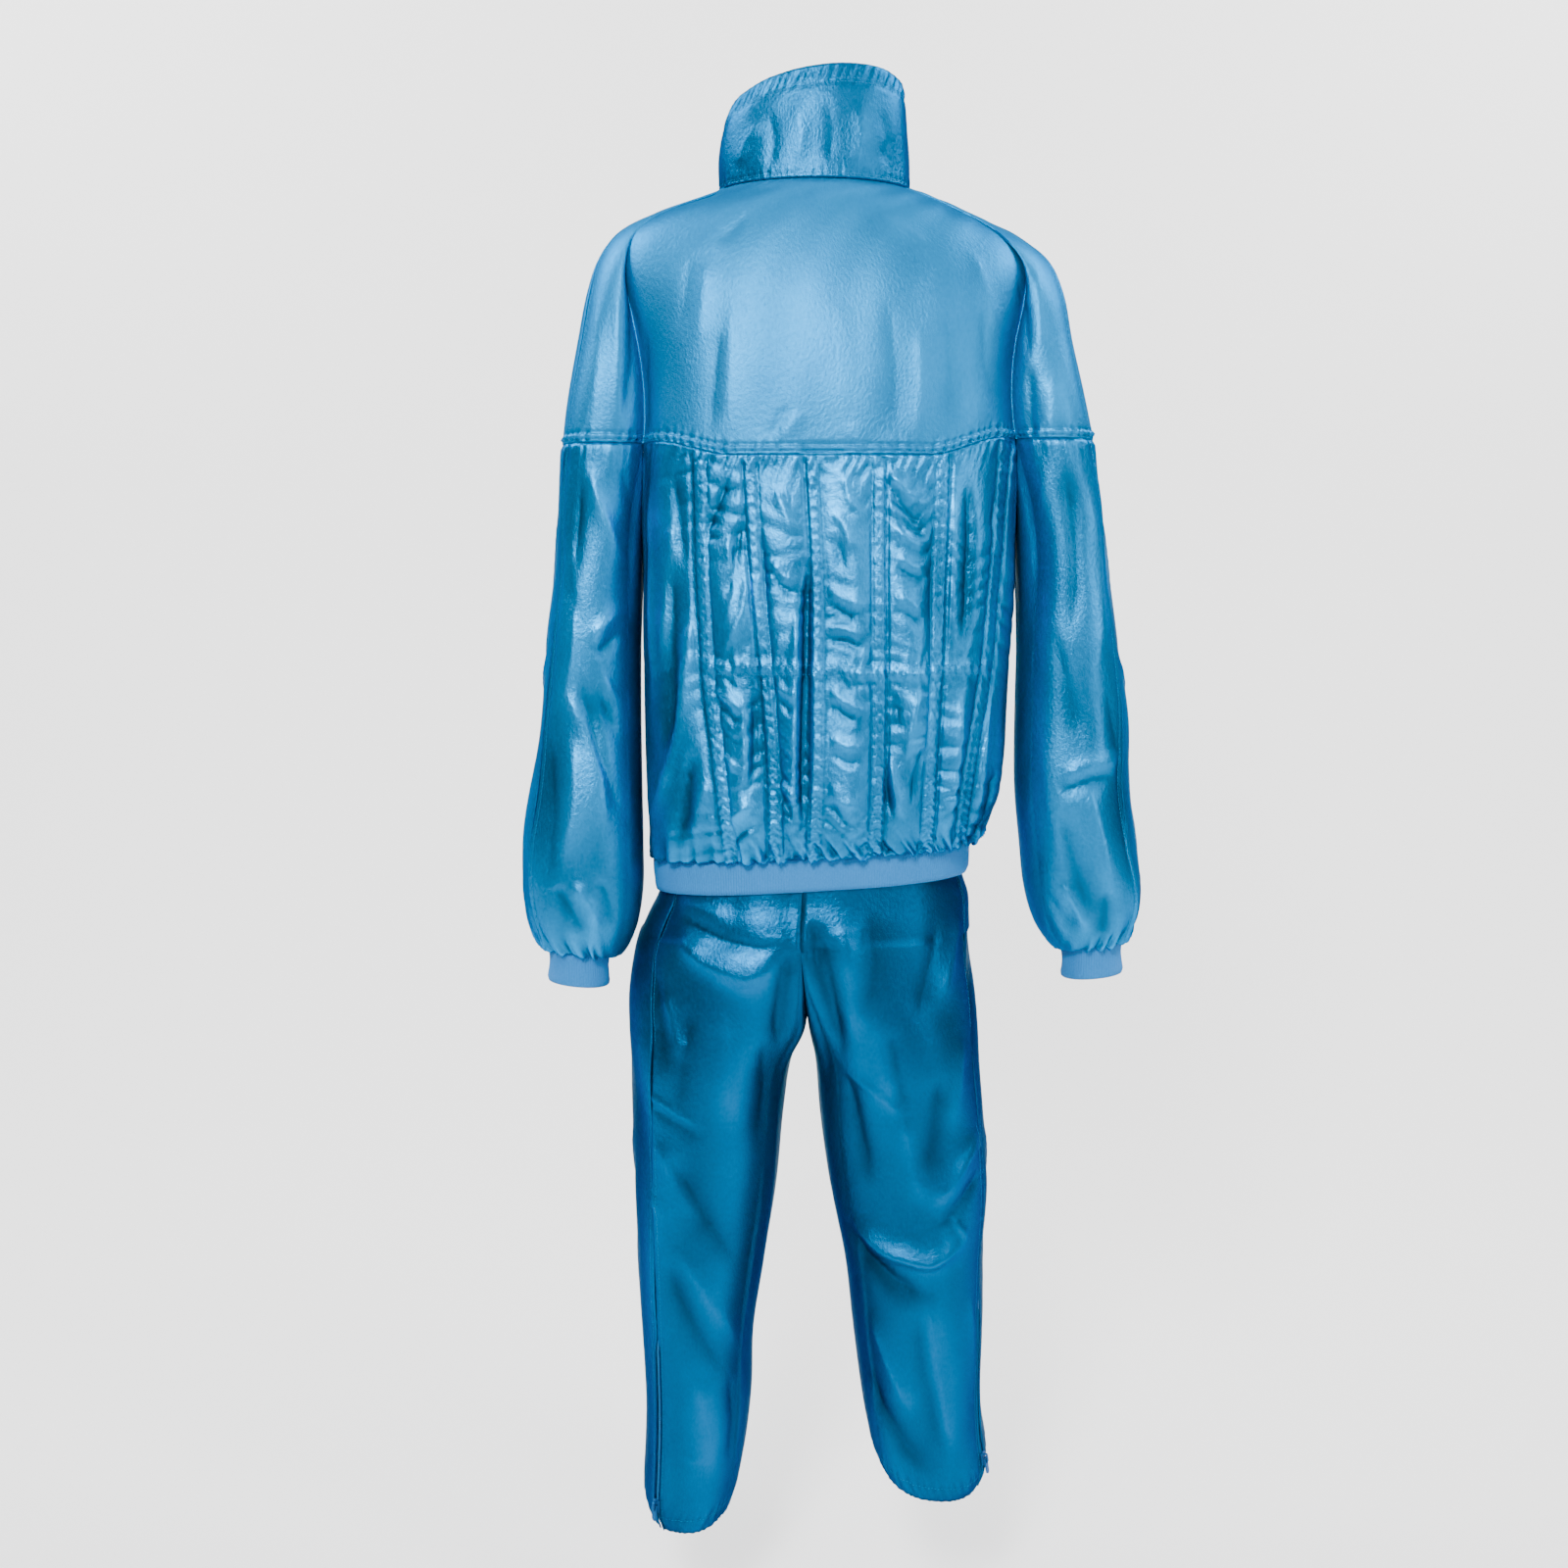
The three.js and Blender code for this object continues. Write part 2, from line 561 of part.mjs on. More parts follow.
function backColumns() {
  const cellsBetween = 6;
  const cellsBeside = 4;
  const columns = [];
  const add = (angleAt, span = 0, band = false) => columns.push({ angleAt, span, band });
  const bandEdge = (k, offset) => (v) => angleAtX(BODY, tuckX(k, v) + offset, v);
  spread(0, ARMHOLE.left, UNDERARM_STEP).forEach((angle) => add(() => angle));
  const between = (from, to, cells) => {
    for (let c = 1; c < cells; c += 1) add((v) => mix(from(v), to(v), c / cells), c / cells);
  };
  between(() => ARMHOLE.left, bandEdge(0, TUCK_HALF), cellsBeside);
  TUCK_NAMES.forEach((_, k) => {
    add(bandEdge(k, TUCK_HALF));
    add(bandEdge(k, 0), 0, true);
    add(bandEdge(k, -TUCK_HALF));
    if (k === TUCK_NAMES.length - 1) return;
    between(bandEdge(k, -TUCK_HALF), bandEdge(k + 1, TUCK_HALF), cellsBetween);
  });
  between(bandEdge(TUCK_NAMES.length - 1, -TUCK_HALF), () => ARMHOLE.right, cellsBeside);
  spread(ARMHOLE.right, Math.PI, UNDERARM_STEP).forEach((angle) => add(() => angle));
  return columns;
}

// How far the cloth between two bands billows out, and its gathers above the hem rib.
function billow(span, v) {
  const puff = PUFF * Math.sin(Math.PI * span) * smooth(0, 0.25, v) * (1 - smooth(0.86, 1, v));
  const wave = Math.cos(2 * Math.PI * GATHERS_PER_SPAN * span) - 1;
  return puff + GATHER_DEEP * 0.5 * wave * smooth(0.62, 0.88, v) * (1 - smooth(0.9, 1, v));
}

function outwards(point, axisX, distance) {
  const away = new THREE.Vector3(point.x - axisX, point.y * 1.6, 0).normalize();
  return point.addScaledVector(away, distance);
}

const UNDERARM_STEP = 4; // cells from the armhole's upper end to the underarm

function underarmColumn(side, sign) {
  const angle = side === "left" ? ARMHOLE.left : ARMHOLE.right;
  const beside = mix(side === "left" ? 0 : Math.PI, angle, 1 / UNDERARM_STEP) * sign;
  return BODY_ROWS.map((row) => bodyPoint(beside, mix(armholeDrop(armholeShare(beside)), 1, row)));
}

function backBody() {
  const columns = backColumns();
  const grid = columns.map(({ angleAt, span }) => BODY_ROWS.map((row) => {
    const v = mix(armholeDrop(armholeShare(angleAt(0))), 1, row);
    return outwards(bodyPoint(angleAt(v), v), middleX(BODY, v), billow(span, v));
  }));
  const lift = (i, j) => {
    if (columns[i].band && j > 0 && j < BODY_ROWS.length - 2) return TUCK_RAISE;
    const { x, z } = grid[i][j];
    const inside = x < tuckX(0, BODY_ROWS[j]) && x > tuckX(TUCK_NAMES.length - 1, BODY_ROWS[j]);
    return inside && Math.abs(z - MID_BAND.z) < MID_BAND.half ? MID_BAND.raise : 0;
  };
  return clothWall("back_body", grid, {
    lift,
    before: underarmColumn("left", -1),
    after: underarmColumn("right", -1),
  });
}

// A front is plainer than the back: two soft billows between the underarm and the zip.
function frontBody(side) {
  const cellsAcross = 12;
  const sideAngle = side === "left" ? 0 : -Math.PI;
  const underarm = spread(sideAngle, -ARMHOLE[side], UNDERARM_STEP).map((angle) => ({ angle, share: 0 }));
  const front = spread(0, 1, cellsAcross).slice(1).map((share) => {
    return { angle: mix(-ARMHOLE[side], -Math.PI / 2, share), share };
  });
  const grid = [...underarm, ...front].map(({ angle, share }) => BODY_ROWS.map((row) => {
    const v = mix(armholeDrop(armholeShare(angle)), 1, row);
    const point = bodyPoint(angle, v);
    if (share === 1) point.x = middleX(BODY, v) + SIGN[side] * FRONT_GAP;
    const calm = FRONT_BILLOW * (1 - smooth(0.8, 1, share));
    return outwards(point, middleX(BODY, v), calm * billow((share * 2) % 1, v));
  }));
  return clothWall(`front_body_${side}`, grid, { before: underarmColumn(side, 1) });
}

// The yoke seam's loop across the back, or round one front from the overarm seam. Its first
// point, and the back's last, lie one cell past the overarm seam.
function backYoke() {
  const armCells = 5;
  const bodyCells = 22;
  const step = (SLEEVE_NOTCH - OVERARM) / armCells;
  const angles = spread(OVERARM - step, SLEEVE_NOTCH, armCells + 1).slice(0, -1);
  const arm = (side) => angles.map((angle) => sleevePoint(side, angle, 0));
  const body = spread(ARMHOLE.left, ARMHOLE.right, bodyCells).map((angle) => bodyPoint(angle, 0));
  const columns = yokeColumns([...arm("left"), ...body, ...arm("right").reverse()], 0, Math.PI);
  return clothWall("back_yoke", columns.slice(1, -1), { before: columns[0], after: columns.at(-1) });
}

function frontYoke(side) {
  const armCells = 9;
  const bodyCells = 9;
  const step = (OVERARM + SLEEVE_NOTCH) / armCells;
  const angles = spread(OVERARM + step, -SLEEVE_NOTCH, armCells + 1).slice(0, -1);
  const arm = angles.map((angle) => sleevePoint(side, angle, 0));
  const body = spread(-ARMHOLE[side], -Math.PI / 2, bodyCells).map((angle) => bodyPoint(angle, 0));
  const centreFront = side === "left" ? -Math.PI / 2 : (3 * Math.PI) / 2;
  const loop = [...arm, ...body];
  const columns = yokeColumns(loop, side === "left" ? 0 : Math.PI, centreFront, 1, loop.length - 1);
  columns.at(-1).forEach((point, j) => {
    point.x = middleX(YOKE, j / YOKE_ROWS) + SIGN[side] * FRONT_GAP;
  });
  return clothWall(`front_yoke_${side}`, columns.slice(1), { before: columns[0] });
}

function sleevePanel(side, face) {
  const inner = face === "back" ? 1 : -1;
  const cells = face === "back" ? 5 : 9;
  const angles = [
    ...spread(OVERARM, inner * SLEEVE_NOTCH, cells),
    ...spread(inner * SLEEVE_NOTCH, inner * Math.PI, 4).slice(1),
  ];
  const columnAt = (angle) => {
    return SLEEVE_ROWS.map((row) => sleevePoint(side, angle, mix(sleeveTop(angle), 1, row)));
  };
  return clothWall(`sleeve_${face}_${side}`, angles.map(columnAt), {
    before: columnAt(OVERARM - inner * degrees(20)),
    after: columnAt(-inner * (Math.PI - degrees(10))),
  });
}

// A ring round the neck or the hem, open at the zip.
function openRing(name, rows, pointAt, { cells, steps, thickness }) {
  const angles = spread(-Math.PI / 2, (3 * Math.PI) / 2, cells);
  const grid = angles.map((angle, i) => spread(0, 1, steps).map((v) => {
    const point = pointAt(angle, v);
    if (i === 0) point.x = middleX(rows, v) + FRONT_GAP;
    if (i === cells) point.x = middleX(rows, v) - FRONT_GAP;
    return point;
  }));
  return clothWall(name, grid, { thickness });
}

function cuff(side) {
  const angles = spread(-Math.PI, Math.PI, 20).slice(0, -1);
  const grid = angles.map((angle) => spread(0, 1, 2).map((v) => cuffPoint(side, angle, v)));
  return clothWall(`cuff_${side}`, grid, { thickness: KNIT, around: true });
}

function waistband() {
  const half = spread(-CENTRE_SEAM, CENTRE_SEAM, 14);
  const loop = [
    ...half.map((angle) => seatPoint("left", angle, 0)),
    ...half.slice(1, -1).reverse().map((angle) => seatPoint("right", angle, 0)),
  ];
  const grid = loop.map((point) => [WAISTBAND_TALL, WAISTBAND_TALL / 2, 0].map((up) => {
    return point.clone().add(new THREE.Vector3(0, 0, up));
  }));
  return clothWall("waistband", grid, { thickness: DOUBLE, around: true });
}

// How far an edge at the side seam stands back from it to bare the ankle zip's teeth.
function ankleOpening(v) {
  return ANKLE_GAP * smooth(ANKLE_ZIP.top, ANKLE_ZIP.open, v);
}

function legPanel(side, face) {
  const sign = face === "back" ? 1 : -1;
  const outer = SIDE_SEAM[side];
  const cells = face === "back" ? 7 : 9;
  const angles = [
    ...spread(sign * Math.PI, sign * CENTRE_SEAM, 4).slice(0, -1),
    ...spread(sign * CENTRE_SEAM, outer, cells),
  ];
  const columnAt = (angle) => {
    const upper = spread(0, 1, SEAT_ROWS).slice(0, -1).map((v) => {
      const height = mix(SEAT[0].z, SEAT_SEAM_END, v);
      return Math.abs(angle) > CENTRE_SEAM + 1e-9 ? null : trouserPoint(side, angle, height);
    });
    const lower = LEG_ROWS.map((v) => {
      const point = lowerLegPoint(side, angle, v);
      if (Math.abs(angle - outer) > 1e-6) return point;
      const next = lowerLegPoint(side, angle + sign * degrees(4), v);
      return point.add(next.sub(point).normalize().multiplyScalar(ankleOpening(v)));
    });
    return [...upper, ...lower];
  };
  return clothWall(`leg_${face}_${side}`, angles.map(columnAt), {
    before: columnAt(-sign * (Math.PI - degrees(10))),
    after: columnAt(outer - sign * degrees(15)),
  });
}

// Front zip: one tape behind both edges from rim to hem, with its closed teeth standing up.
function frontZip() {
  const edges = [TAPE_HALF, TEETH_HALF + TEETH_SLOPE, TEETH_HALF];
  const offsets = [...edges.map((edge) => -edge), ...edges.reverse()];
  const stops = [
    ...spread(0.94, 0.1, 4).map((v) => [COLLAR, collarPoint, v, 2]),
    ...spread(0, 0.96, 8).map((v) => [YOKE, yokeRound, v]),
    ...spread(0.03, 1, 13).map((v) => [BODY, bodyPoint, v]),
    ...spread(0.3, 0.94, 2).map((v) => [HEM_RIB, hemRibPoint, v]),
  ];
  const grid = offsets.map((offset) => stops.map(([rows, pointAt, v, full]) => {
    const angle = -angleAtX(rows, middleX(rows, v) + offset, v, full);
    return pointAt(angle, v);
  }));
  const lift = (i) => (i === 2 || i === 3 ? ZIP_IN : 0);
  const centre = new THREE.Vector3(0, 0, along(BODY, "z", 0));
  return clothWall("front_zip", grid, { thickness: TAPE, inset: ZIP_IN, lift, centre });
}

function anklePoint(side, offset, v) {
  const middle = lowerLegPoint(side, SIDE_SEAM[side], v);
  const step = degrees(3);
  const beside = lowerLegPoint(side, SIDE_SEAM[side] + step, v);
  return lowerLegPoint(side, SIDE_SEAM[side] + (step * offset) / beside.distanceTo(middle), v);
}

function ankleZip(side) {
  const edges = [ANKLE_TAPE_HALF, ANKLE_TEETH_HALF + TEETH_SLOPE, ANKLE_TEETH_HALF];
  const offsets = [...edges.map((edge) => -edge), ...edges.reverse()];
  const rows = [ANKLE_ZIP.top + 0.005, ...LEG_ROWS.filter((v) => v > ANKLE_ZIP.top && v < 1)];
  const grid = offsets.map((offset) => rows.map((v) => anklePoint(side, offset, v)));
  const lift = (i, j) => ((i === 2 || i === 3) && j > 0 ? ANKLE_ZIP_IN : 0);
  const hem = LEGS[side].at(-1);
  const centre = new THREE.Vector3((SIGN[side] * (hem.left + hem.right)) / 2, hem.y, hem.z);
  return clothWall(`ankle_zip_${side}`, grid, { thickness: TAPE, inset: ANKLE_ZIP_IN, lift, centre });
}

// Slider and pull tab, made facing +Y with the zip running along Z.
const wasm = await Module();
wasm.setup();

function solidOf(geometry) {
  const flat = geometry.index ? geometry.toNonIndexed() : geometry;
  const places = flat.getAttribute("position").array;
  const corners = new Map();
  const vertices = [];
  const triangles = [];
  for (let p = 0; p < places.length; p += 3) {
    const corner = [places[p], places[p + 1], places[p + 2]];
    const key = corner.map((value) => value.toFixed(4)).join();
    if (!corners.has(key)) {
      corners.set(key, vertices.length / 3);
      vertices.push(...corner);
    }
    triangles.push(corners.get(key));
  }
  return new wasm.Manifold(new wasm.Mesh({
    numProp: 3,
    vertProperties: new Float32Array(vertices),
    triVerts: new Uint32Array(triangles),
  }));
}

function geometryOf(solid) {
  const mesh = solid.getMesh();
  const geometry = new THREE.BufferGeometry();
  geometry.setAttribute("position", new THREE.BufferAttribute(new Float32Array(mesh.vertProperties), 3));
  geometry.setIndex([...mesh.triVerts]);
  geometry.computeVertexNormals();
  return geometry;
}

function sliderGeometry() {
  const plate = new THREE.BoxGeometry(SLIDER.wide, SLIDER.plate, SLIDER.tall);
  plate.translate(0, SLIDER.plate / 2, 0);
  const half = SLIDER.archLong / 2;
  const top = SLIDER.plate + SLIDER.arch;
  const foot = SLIDER.plate / 2;
  const profile = new THREE.Shape([
    [-half, foot], [half, foot], [half, top - 1], [half - 1, top], [1 - half, top], [-half, top - 1],
  ].map(([x, out]) => new THREE.Vector2(x, out)));
  const window = [
    [-half + SLIDER.wall, SLIDER.plate], [half - SLIDER.wall, SLIDER.plate],
    [half - SLIDER.wall, top - SLIDER.wall], [-half + SLIDER.wall, top - SLIDER.wall],
  ];
  profile.holes.push(new THREE.Path(window.map(([x, out]) => new THREE.Vector2(x, out))));
  const arch = new THREE.ExtrudeGeometry(profile, { depth: SLIDER.archWide, bevelEnabled: false });
  arch.translate(0, 0, -SLIDER.archWide / 2);
  arch.applyMatrix4(new THREE.Matrix4().makeBasis(
    new THREE.Vector3(0, 0, 1), new THREE.Vector3(0, 1, 0), new THREE.Vector3(-1, 0, 0),
  ));
  return geometryOf(solidOf(plate).add(solidOf(arch)));
}

const TAB_AXIS = SLIDER.plate + (SLIDER.arch - SLIDER.wall) / 2;

function tabGeometry(long) {
  const half = TAB.wide / 2;
  const outline = new THREE.Shape();
  outline.moveTo(-half, TAB.bar);
  outline.lineTo(-half, -long + half);
  outline.absarc(0, -long + half, half, Math.PI, 2 * Math.PI, false);
  outline.lineTo(half, TAB.bar);
  outline.closePath();
  const window = new THREE.Path();
  const side = TAB.windowWide / 2;
  const low = -TAB.bar - TAB.window;
  window.setFromPoints([[-side, -TAB.bar], [side, -TAB.bar], [side, low], [-side, low]]
    .map(([x, z]) => new THREE.Vector2(x, z)));
  outline.holes.push(window);
  const extrusion = { depth: TAB.thick, bevelEnabled: false, curveSegments: 8 };
  const tab = new THREE.ExtrudeGeometry(outline, extrusion);
  tab.translate(0, 0, -TAB.thick / 2);
  tab.rotateX(Math.PI / 2);
  tab.translate(0, TAB_AXIS, 0);
  return geometryOf(solidOf(tab));
}

// A place on the outside of a zip: out is away from the garment and up runs along the teeth.
function zipPlace(point, above, beside) {
  const up = above.clone().sub(point).normalize();
  const sideways = beside.clone().sub(point).normalize();
  const out = sideways.clone().cross(up).normalize();
  const axis = out.clone().cross(up);
  const place = new THREE.Matrix4().makeBasis(axis, out, up);
  place.setPosition(point.clone().addScaledVector(out, SLIDER.lift));
  return place;
}

const frontMiddle = (v) => collarPoint(-Math.PI / 2, v);
const frontPlace = zipPlace(
  frontMiddle(SLIDER.collar),
  frontMiddle(SLIDER.collar + 0.1),
  collarPoint(-Math.PI / 2 + 0.05, SLIDER.collar),
);

function anklePlace(side) {
  const v = SLIDER.ankle;
  const middle = anklePoint(side, 0, v);
  const above = anklePoint(side, 0, v - 0.02);
  return zipPlace(middle, above, anklePoint(side, 3 * SIGN[side], v));
}

// Assembly
const suit = new THREE.Group();

function addPiece({ name, geometry }, color, roughness, metalness = 0) {
  const material = new THREE.MeshStandardMaterial({ color, roughness, metalness });
  const mesh = new THREE.Mesh(geometry, material);
  mesh.name = name;
  suit.add(mesh);
}

function addSlider(label, place, tabLong) {
  const slider = sliderGeometry().applyMatrix4(place);
  const tab = tabGeometry(tabLong).applyMatrix4(place);
  addPiece({ name: `${label}_slider`, geometry: slider }, ZIP_BLUE, 0.4, 0.3);
  addPiece({ name: `${label}_pull_tab`, geometry: tab }, ZIP_BLUE, 0.4, 0.3);
}

const collarMesh = { cells: 28, steps: 4, thickness: DOUBLE };
const hemRibMesh = { cells: 40, steps: 2, thickness: KNIT };
addPiece(openRing("collar", COLLAR, collarPoint, collarMesh), CLOTH_BLUE, 0.4);
addPiece(backYoke(), YOKE_BLUE, 0.35);
addPiece(backBody(), CLOTH_BLUE, 0.35);
addPiece(openRing("hem_rib", HEM_RIB, hemRibPoint, hemRibMesh), KNIT_BLUE, 0.9);
addPiece(waistband(), CLOTH_BLUE, 0.5);
addPiece(frontZip(), ZIP_BLUE, 0.6);
addSlider("front", frontPlace, FRONT_TAB_LONG);
for (const side of ["left", "right"]) {
  addPiece(frontYoke(side), YOKE_BLUE, 0.35);
  addPiece(frontBody(side), CLOTH_BLUE, 0.35);
  addPiece(sleevePanel(side, "back"), CLOTH_BLUE, 0.35);
  addPiece(sleevePanel(side, "front"), CLOTH_BLUE, 0.35);
  addPiece(cuff(side), KNIT_BLUE, 0.9);
  addPiece(legPanel(side, "back"), CLOTH_BLUE, 0.35);
  addPiece(legPanel(side, "front"), CLOTH_BLUE, 0.35);
  addPiece(ankleZip(side), ZIP_BLUE, 0.6);
  addSlider(`ankle_${side}`, anklePlace(side), ANKLE_TAB_LONG);
}

export default suit;
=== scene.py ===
import math

import bpy
import numpy as np
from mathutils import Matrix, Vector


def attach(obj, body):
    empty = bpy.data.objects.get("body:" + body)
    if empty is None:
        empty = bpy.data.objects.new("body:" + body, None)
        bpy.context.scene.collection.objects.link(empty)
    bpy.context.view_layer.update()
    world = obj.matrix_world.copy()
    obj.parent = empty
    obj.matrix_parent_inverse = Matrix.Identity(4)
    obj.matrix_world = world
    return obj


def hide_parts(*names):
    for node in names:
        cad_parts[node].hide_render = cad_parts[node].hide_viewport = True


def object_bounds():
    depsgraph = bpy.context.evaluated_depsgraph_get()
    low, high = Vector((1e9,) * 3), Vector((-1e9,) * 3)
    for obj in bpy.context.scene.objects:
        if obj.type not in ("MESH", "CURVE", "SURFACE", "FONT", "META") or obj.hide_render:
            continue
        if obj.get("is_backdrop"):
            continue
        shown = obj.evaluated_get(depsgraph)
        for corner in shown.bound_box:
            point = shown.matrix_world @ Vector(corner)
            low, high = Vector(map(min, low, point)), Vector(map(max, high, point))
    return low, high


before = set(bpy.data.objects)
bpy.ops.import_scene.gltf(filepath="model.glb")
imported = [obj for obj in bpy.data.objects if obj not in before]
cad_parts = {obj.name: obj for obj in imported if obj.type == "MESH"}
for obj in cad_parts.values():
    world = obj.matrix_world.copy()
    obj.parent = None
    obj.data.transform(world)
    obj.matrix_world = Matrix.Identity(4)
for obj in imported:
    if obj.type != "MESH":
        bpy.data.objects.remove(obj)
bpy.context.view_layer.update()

# Camera
# It stands behind the garment at hip height, nearly two metres off, tipped a little down.
camera = bpy.data.objects.new("camera", bpy.data.cameras.new("camera"))
bpy.context.scene.collection.objects.link(camera)
camera.data.lens = 44.55
camera.data.sensor_width = 36
camera.location = (0.0267, 1.9, -0.379)
camera.rotation_euler = (math.radians(90 - 5.71), 0, math.radians(180))
bpy.context.scene.camera = camera

# Jacket back
# One piece of satin shell cloth from the yoke seam to the hem rib. Six shirred bands and one
# level one are stitched into it with zigzag rows, and its end is gathered onto the rib.


def table(names, rows):
    """A table's columns by name, as arrays from the top of a piece to its end."""
    return {name: np.array(column, float) for name, column in zip(names.split(), zip(*rows))}


SEAM_GAP = 0.36
BODY = table("z left right back front full drop", [
    (-256, 163, -195, 117, 115, 3.2, 0),
    (-300, 163, -196, 119, 117, 3.0, 0),
    (-355, 163, -195, 121, 119, 2.8, 0),
    (-415, 163, -193, 124, 122, 2.7, 0),
    (-475, 163, -190, 127, 125, 2.6, 0),
    (-530, 162, -188, 129, 127, 2.6, 0),
    (-570, 161, -183, 130, 128, 2.6, 0),
    (-599, 159, -172, 128, 126, 2.6, 2),
    (-616, 158, -163, 121, 118, 2.6, 6),
    (-623, 158, -159, 116, 113, 2.6, 5),
    (-625.7, 155, -155, 109, 109, 2.6, 0),
])
HEM_TILT = 0.058
ZIP_CALM = 34
ARMHOLE_X = {"left": 159, "right": -191}
ARMHOLE_DEEP = 0.135
SEAM_RISE = {"left": 14, "right": 18, "from": 90, "to": 165}
TUCKS = table("z s1 s2 s3 s4 s5 s6", [
    (-256, 105, 59, 2, -60, -119, -180),
    (-355, 102, 53, -3, -60, -117, -171),
    (-460, 97, 43, -4, -61, -114, -161),
    (-530, 88, 38, -4, -61, -110, -150),
    (-626, 76, 35, -1, -58, -106, -138),
])
TUCK_NAMES = ("s1", "s2", "s3", "s4", "s5", "s6")
TUCK_HALF = 6.5
TUCK_RAISE = 0.9
TUCK_RIB = 0.95
PLEAT = {"deep": 2.9, "shallow": 1.0, "wide": 1.2}
DRAG = 1.3
PUFF = 4.5
GATHER_DEEP = 1.8
MID_BAND_Z = -452
MID_BAND_HALF = 7
MID_BAND_RAISE = 1.4
MID_BAND_RIB = 1.2
ARMHOLE_CELLS = 12
TUCK_CELLS = 8
PANEL_CELLS = 22
BACK_ROWS = 166


def along(rows, key, v):
    """A smooth line through one column, v running from 0 at the top to 1 at the end."""
    line = rows[key]
    last = len(line) - 1
    s = np.clip(v, 0, 1) * last
    k = np.minimum(np.floor(s).astype(int), last - 1)
    t = s - k
    here, following = line[k], line[k + 1]
    before = np.where(k > 0, line[np.maximum(k - 1, 0)], 2 * here - following)
    beyond = np.where(k + 1 < last, line[np.minimum(k + 2, last)], 2 * following - here)
    slope, slope_on = (following - before) / 2, (beyond - here) / 2
    bend = 2 * (here - following) + slope + slope_on
    curve = 3 * (following - here) - 2 * slope - slope_on
    return here + t * (slope + t * (curve + t * bend))


def height_to_share(rows, z):
    """The share v at which a table's falling height column reaches z."""
    low, high = np.zeros(np.shape(z)), np.ones(np.shape(z))
    for _ in range(26):
        middle = (low + high) / 2
        above = along(rows, "z", middle) > z
        low, high = np.where(above, middle, low), np.where(above, high, middle)
    return (low + high) / 2


def smooth(start, end, x):
    t = np.clip((x - start) / (end - start), 0, 1)
    return t * t * (3 - 2 * t)


def mix(a, b, t):
    return a + (b - a) * t


def signed_power(value, power):
    return np.sign(value) * np.abs(value) ** power


def point(x, y, z):
    return np.stack(np.broadcast_arrays(x, y, z), axis=-1).astype(float)


def section(rows, angle, v, full=None):
    """A level section at v of a table, at an angle from +X towards +Y, as x and y."""
    full = along(rows, "full", v) if full is None else full
    left, right = along(rows, "left", v), along(rows, "right", v)
    s = np.sin(angle)
    if "deep" in rows:
        depth = along(rows, "deep", v)
    else:
        depth = np.where(s > 0, along(rows, "back", v), along(rows, "front", v))
    x = (left + right) / 2 + (left - right) / 2 * signed_power(np.cos(angle), 2 / full)
    return x, depth * signed_power(s, 2 / full)


def middle_x(rows, v):
    return (along(rows, "left", v) + along(rows, "right", v)) / 2


def angle_at_x(rows, x, v, full=None):
    full = along(rows, "full", v) if full is None else full
    half = (along(rows, "left", v) - along(rows, "right", v)) / 2
    share = np.clip((x - middle_x(rows, v)) / half, -1, 1)
    return np.arccos(signed_power(share, full / 2))


def body_point(angle, v):
    x, y = section(BODY, angle, v)
    away = x - middle_x(BODY, 0)
    rise = np.where(away > 0, SEAM_RISE["left"], SEAM_RISE["right"])
    rise = rise * smooth(SEAM_RISE["from"], SEAM_RISE["to"], np.abs(away)) * (1 - smooth(0, 0.2, v))
    from_zip = np.where(y < 0, 1 - np.exp(-(((x - middle_x(BODY, v)) / ZIP_CALM) ** 2)), 1)
    tilt = HEM_TILT * x * smooth(0.62, 1, v)
    return point(x, y, along(BODY, "z", v) - along(BODY, "drop", v) * from_zip - tilt + rise)


ARMHOLE = {side: float(angle_at_x(BODY, x, 0)) for side, x in ARMHOLE_X.items()}


def armhole_drop(share):
    return ARMHOLE_DEEP * np.sqrt(1 - (1 - np.clip(share, 0, 1)) ** 2)


def armhole_share(angle):
    turned = np.abs(angle)
    past = 1 - (np.pi - turned) / (np.pi - ARMHOLE["right"])
    share = np.where(turned > ARMHOLE["right"], past, 0)
    return np.where(turned < ARMHOLE["left"], 1 - turned / ARMHOLE["left"], share)


def tuck_x(k, v):
    return along(TUCKS, TUCK_NAMES[k], height_to_share(TUCKS, along(BODY, "z", v)))


def unit(way):
    return way / np.maximum(np.linalg.norm(way, axis=-1, keepdims=True), 1e-9)


def ridge(x, place, width):
    """1 at a place, falling smoothly to nothing at about twice the width."""
    return np.exp(-(((x - place) / width) ** 2))


def runs(points, axis):
    """Running length in millimetres down the columns (axis 1) or across the rows (axis 0)."""
    step = np.nan_to_num(np.linalg.norm(np.diff(points, axis=axis), axis=-1))
    first = np.zeros_like(np.take(step, [0], axis=axis))
    return np.concatenate([first, np.cumsum(step, axis=axis)], axis=axis)


def lengths(points):
    """Running lengths at each point: down from the top, up from the end, and across."""
    down = runs(points, 1)
    return down, down[:, -1:] - down, runs(points, 0)


def path_length(line):
    return np.concatenate([[0], np.cumsum(np.linalg.norm(np.diff(line, axis=0), axis=1))])


def stepped(line, length, stations):
    """The line's points, or what else runs along it, at evenly spaced stations."""
    return np.stack([np.interp(stations, length, column) for column in line.T], axis=1)


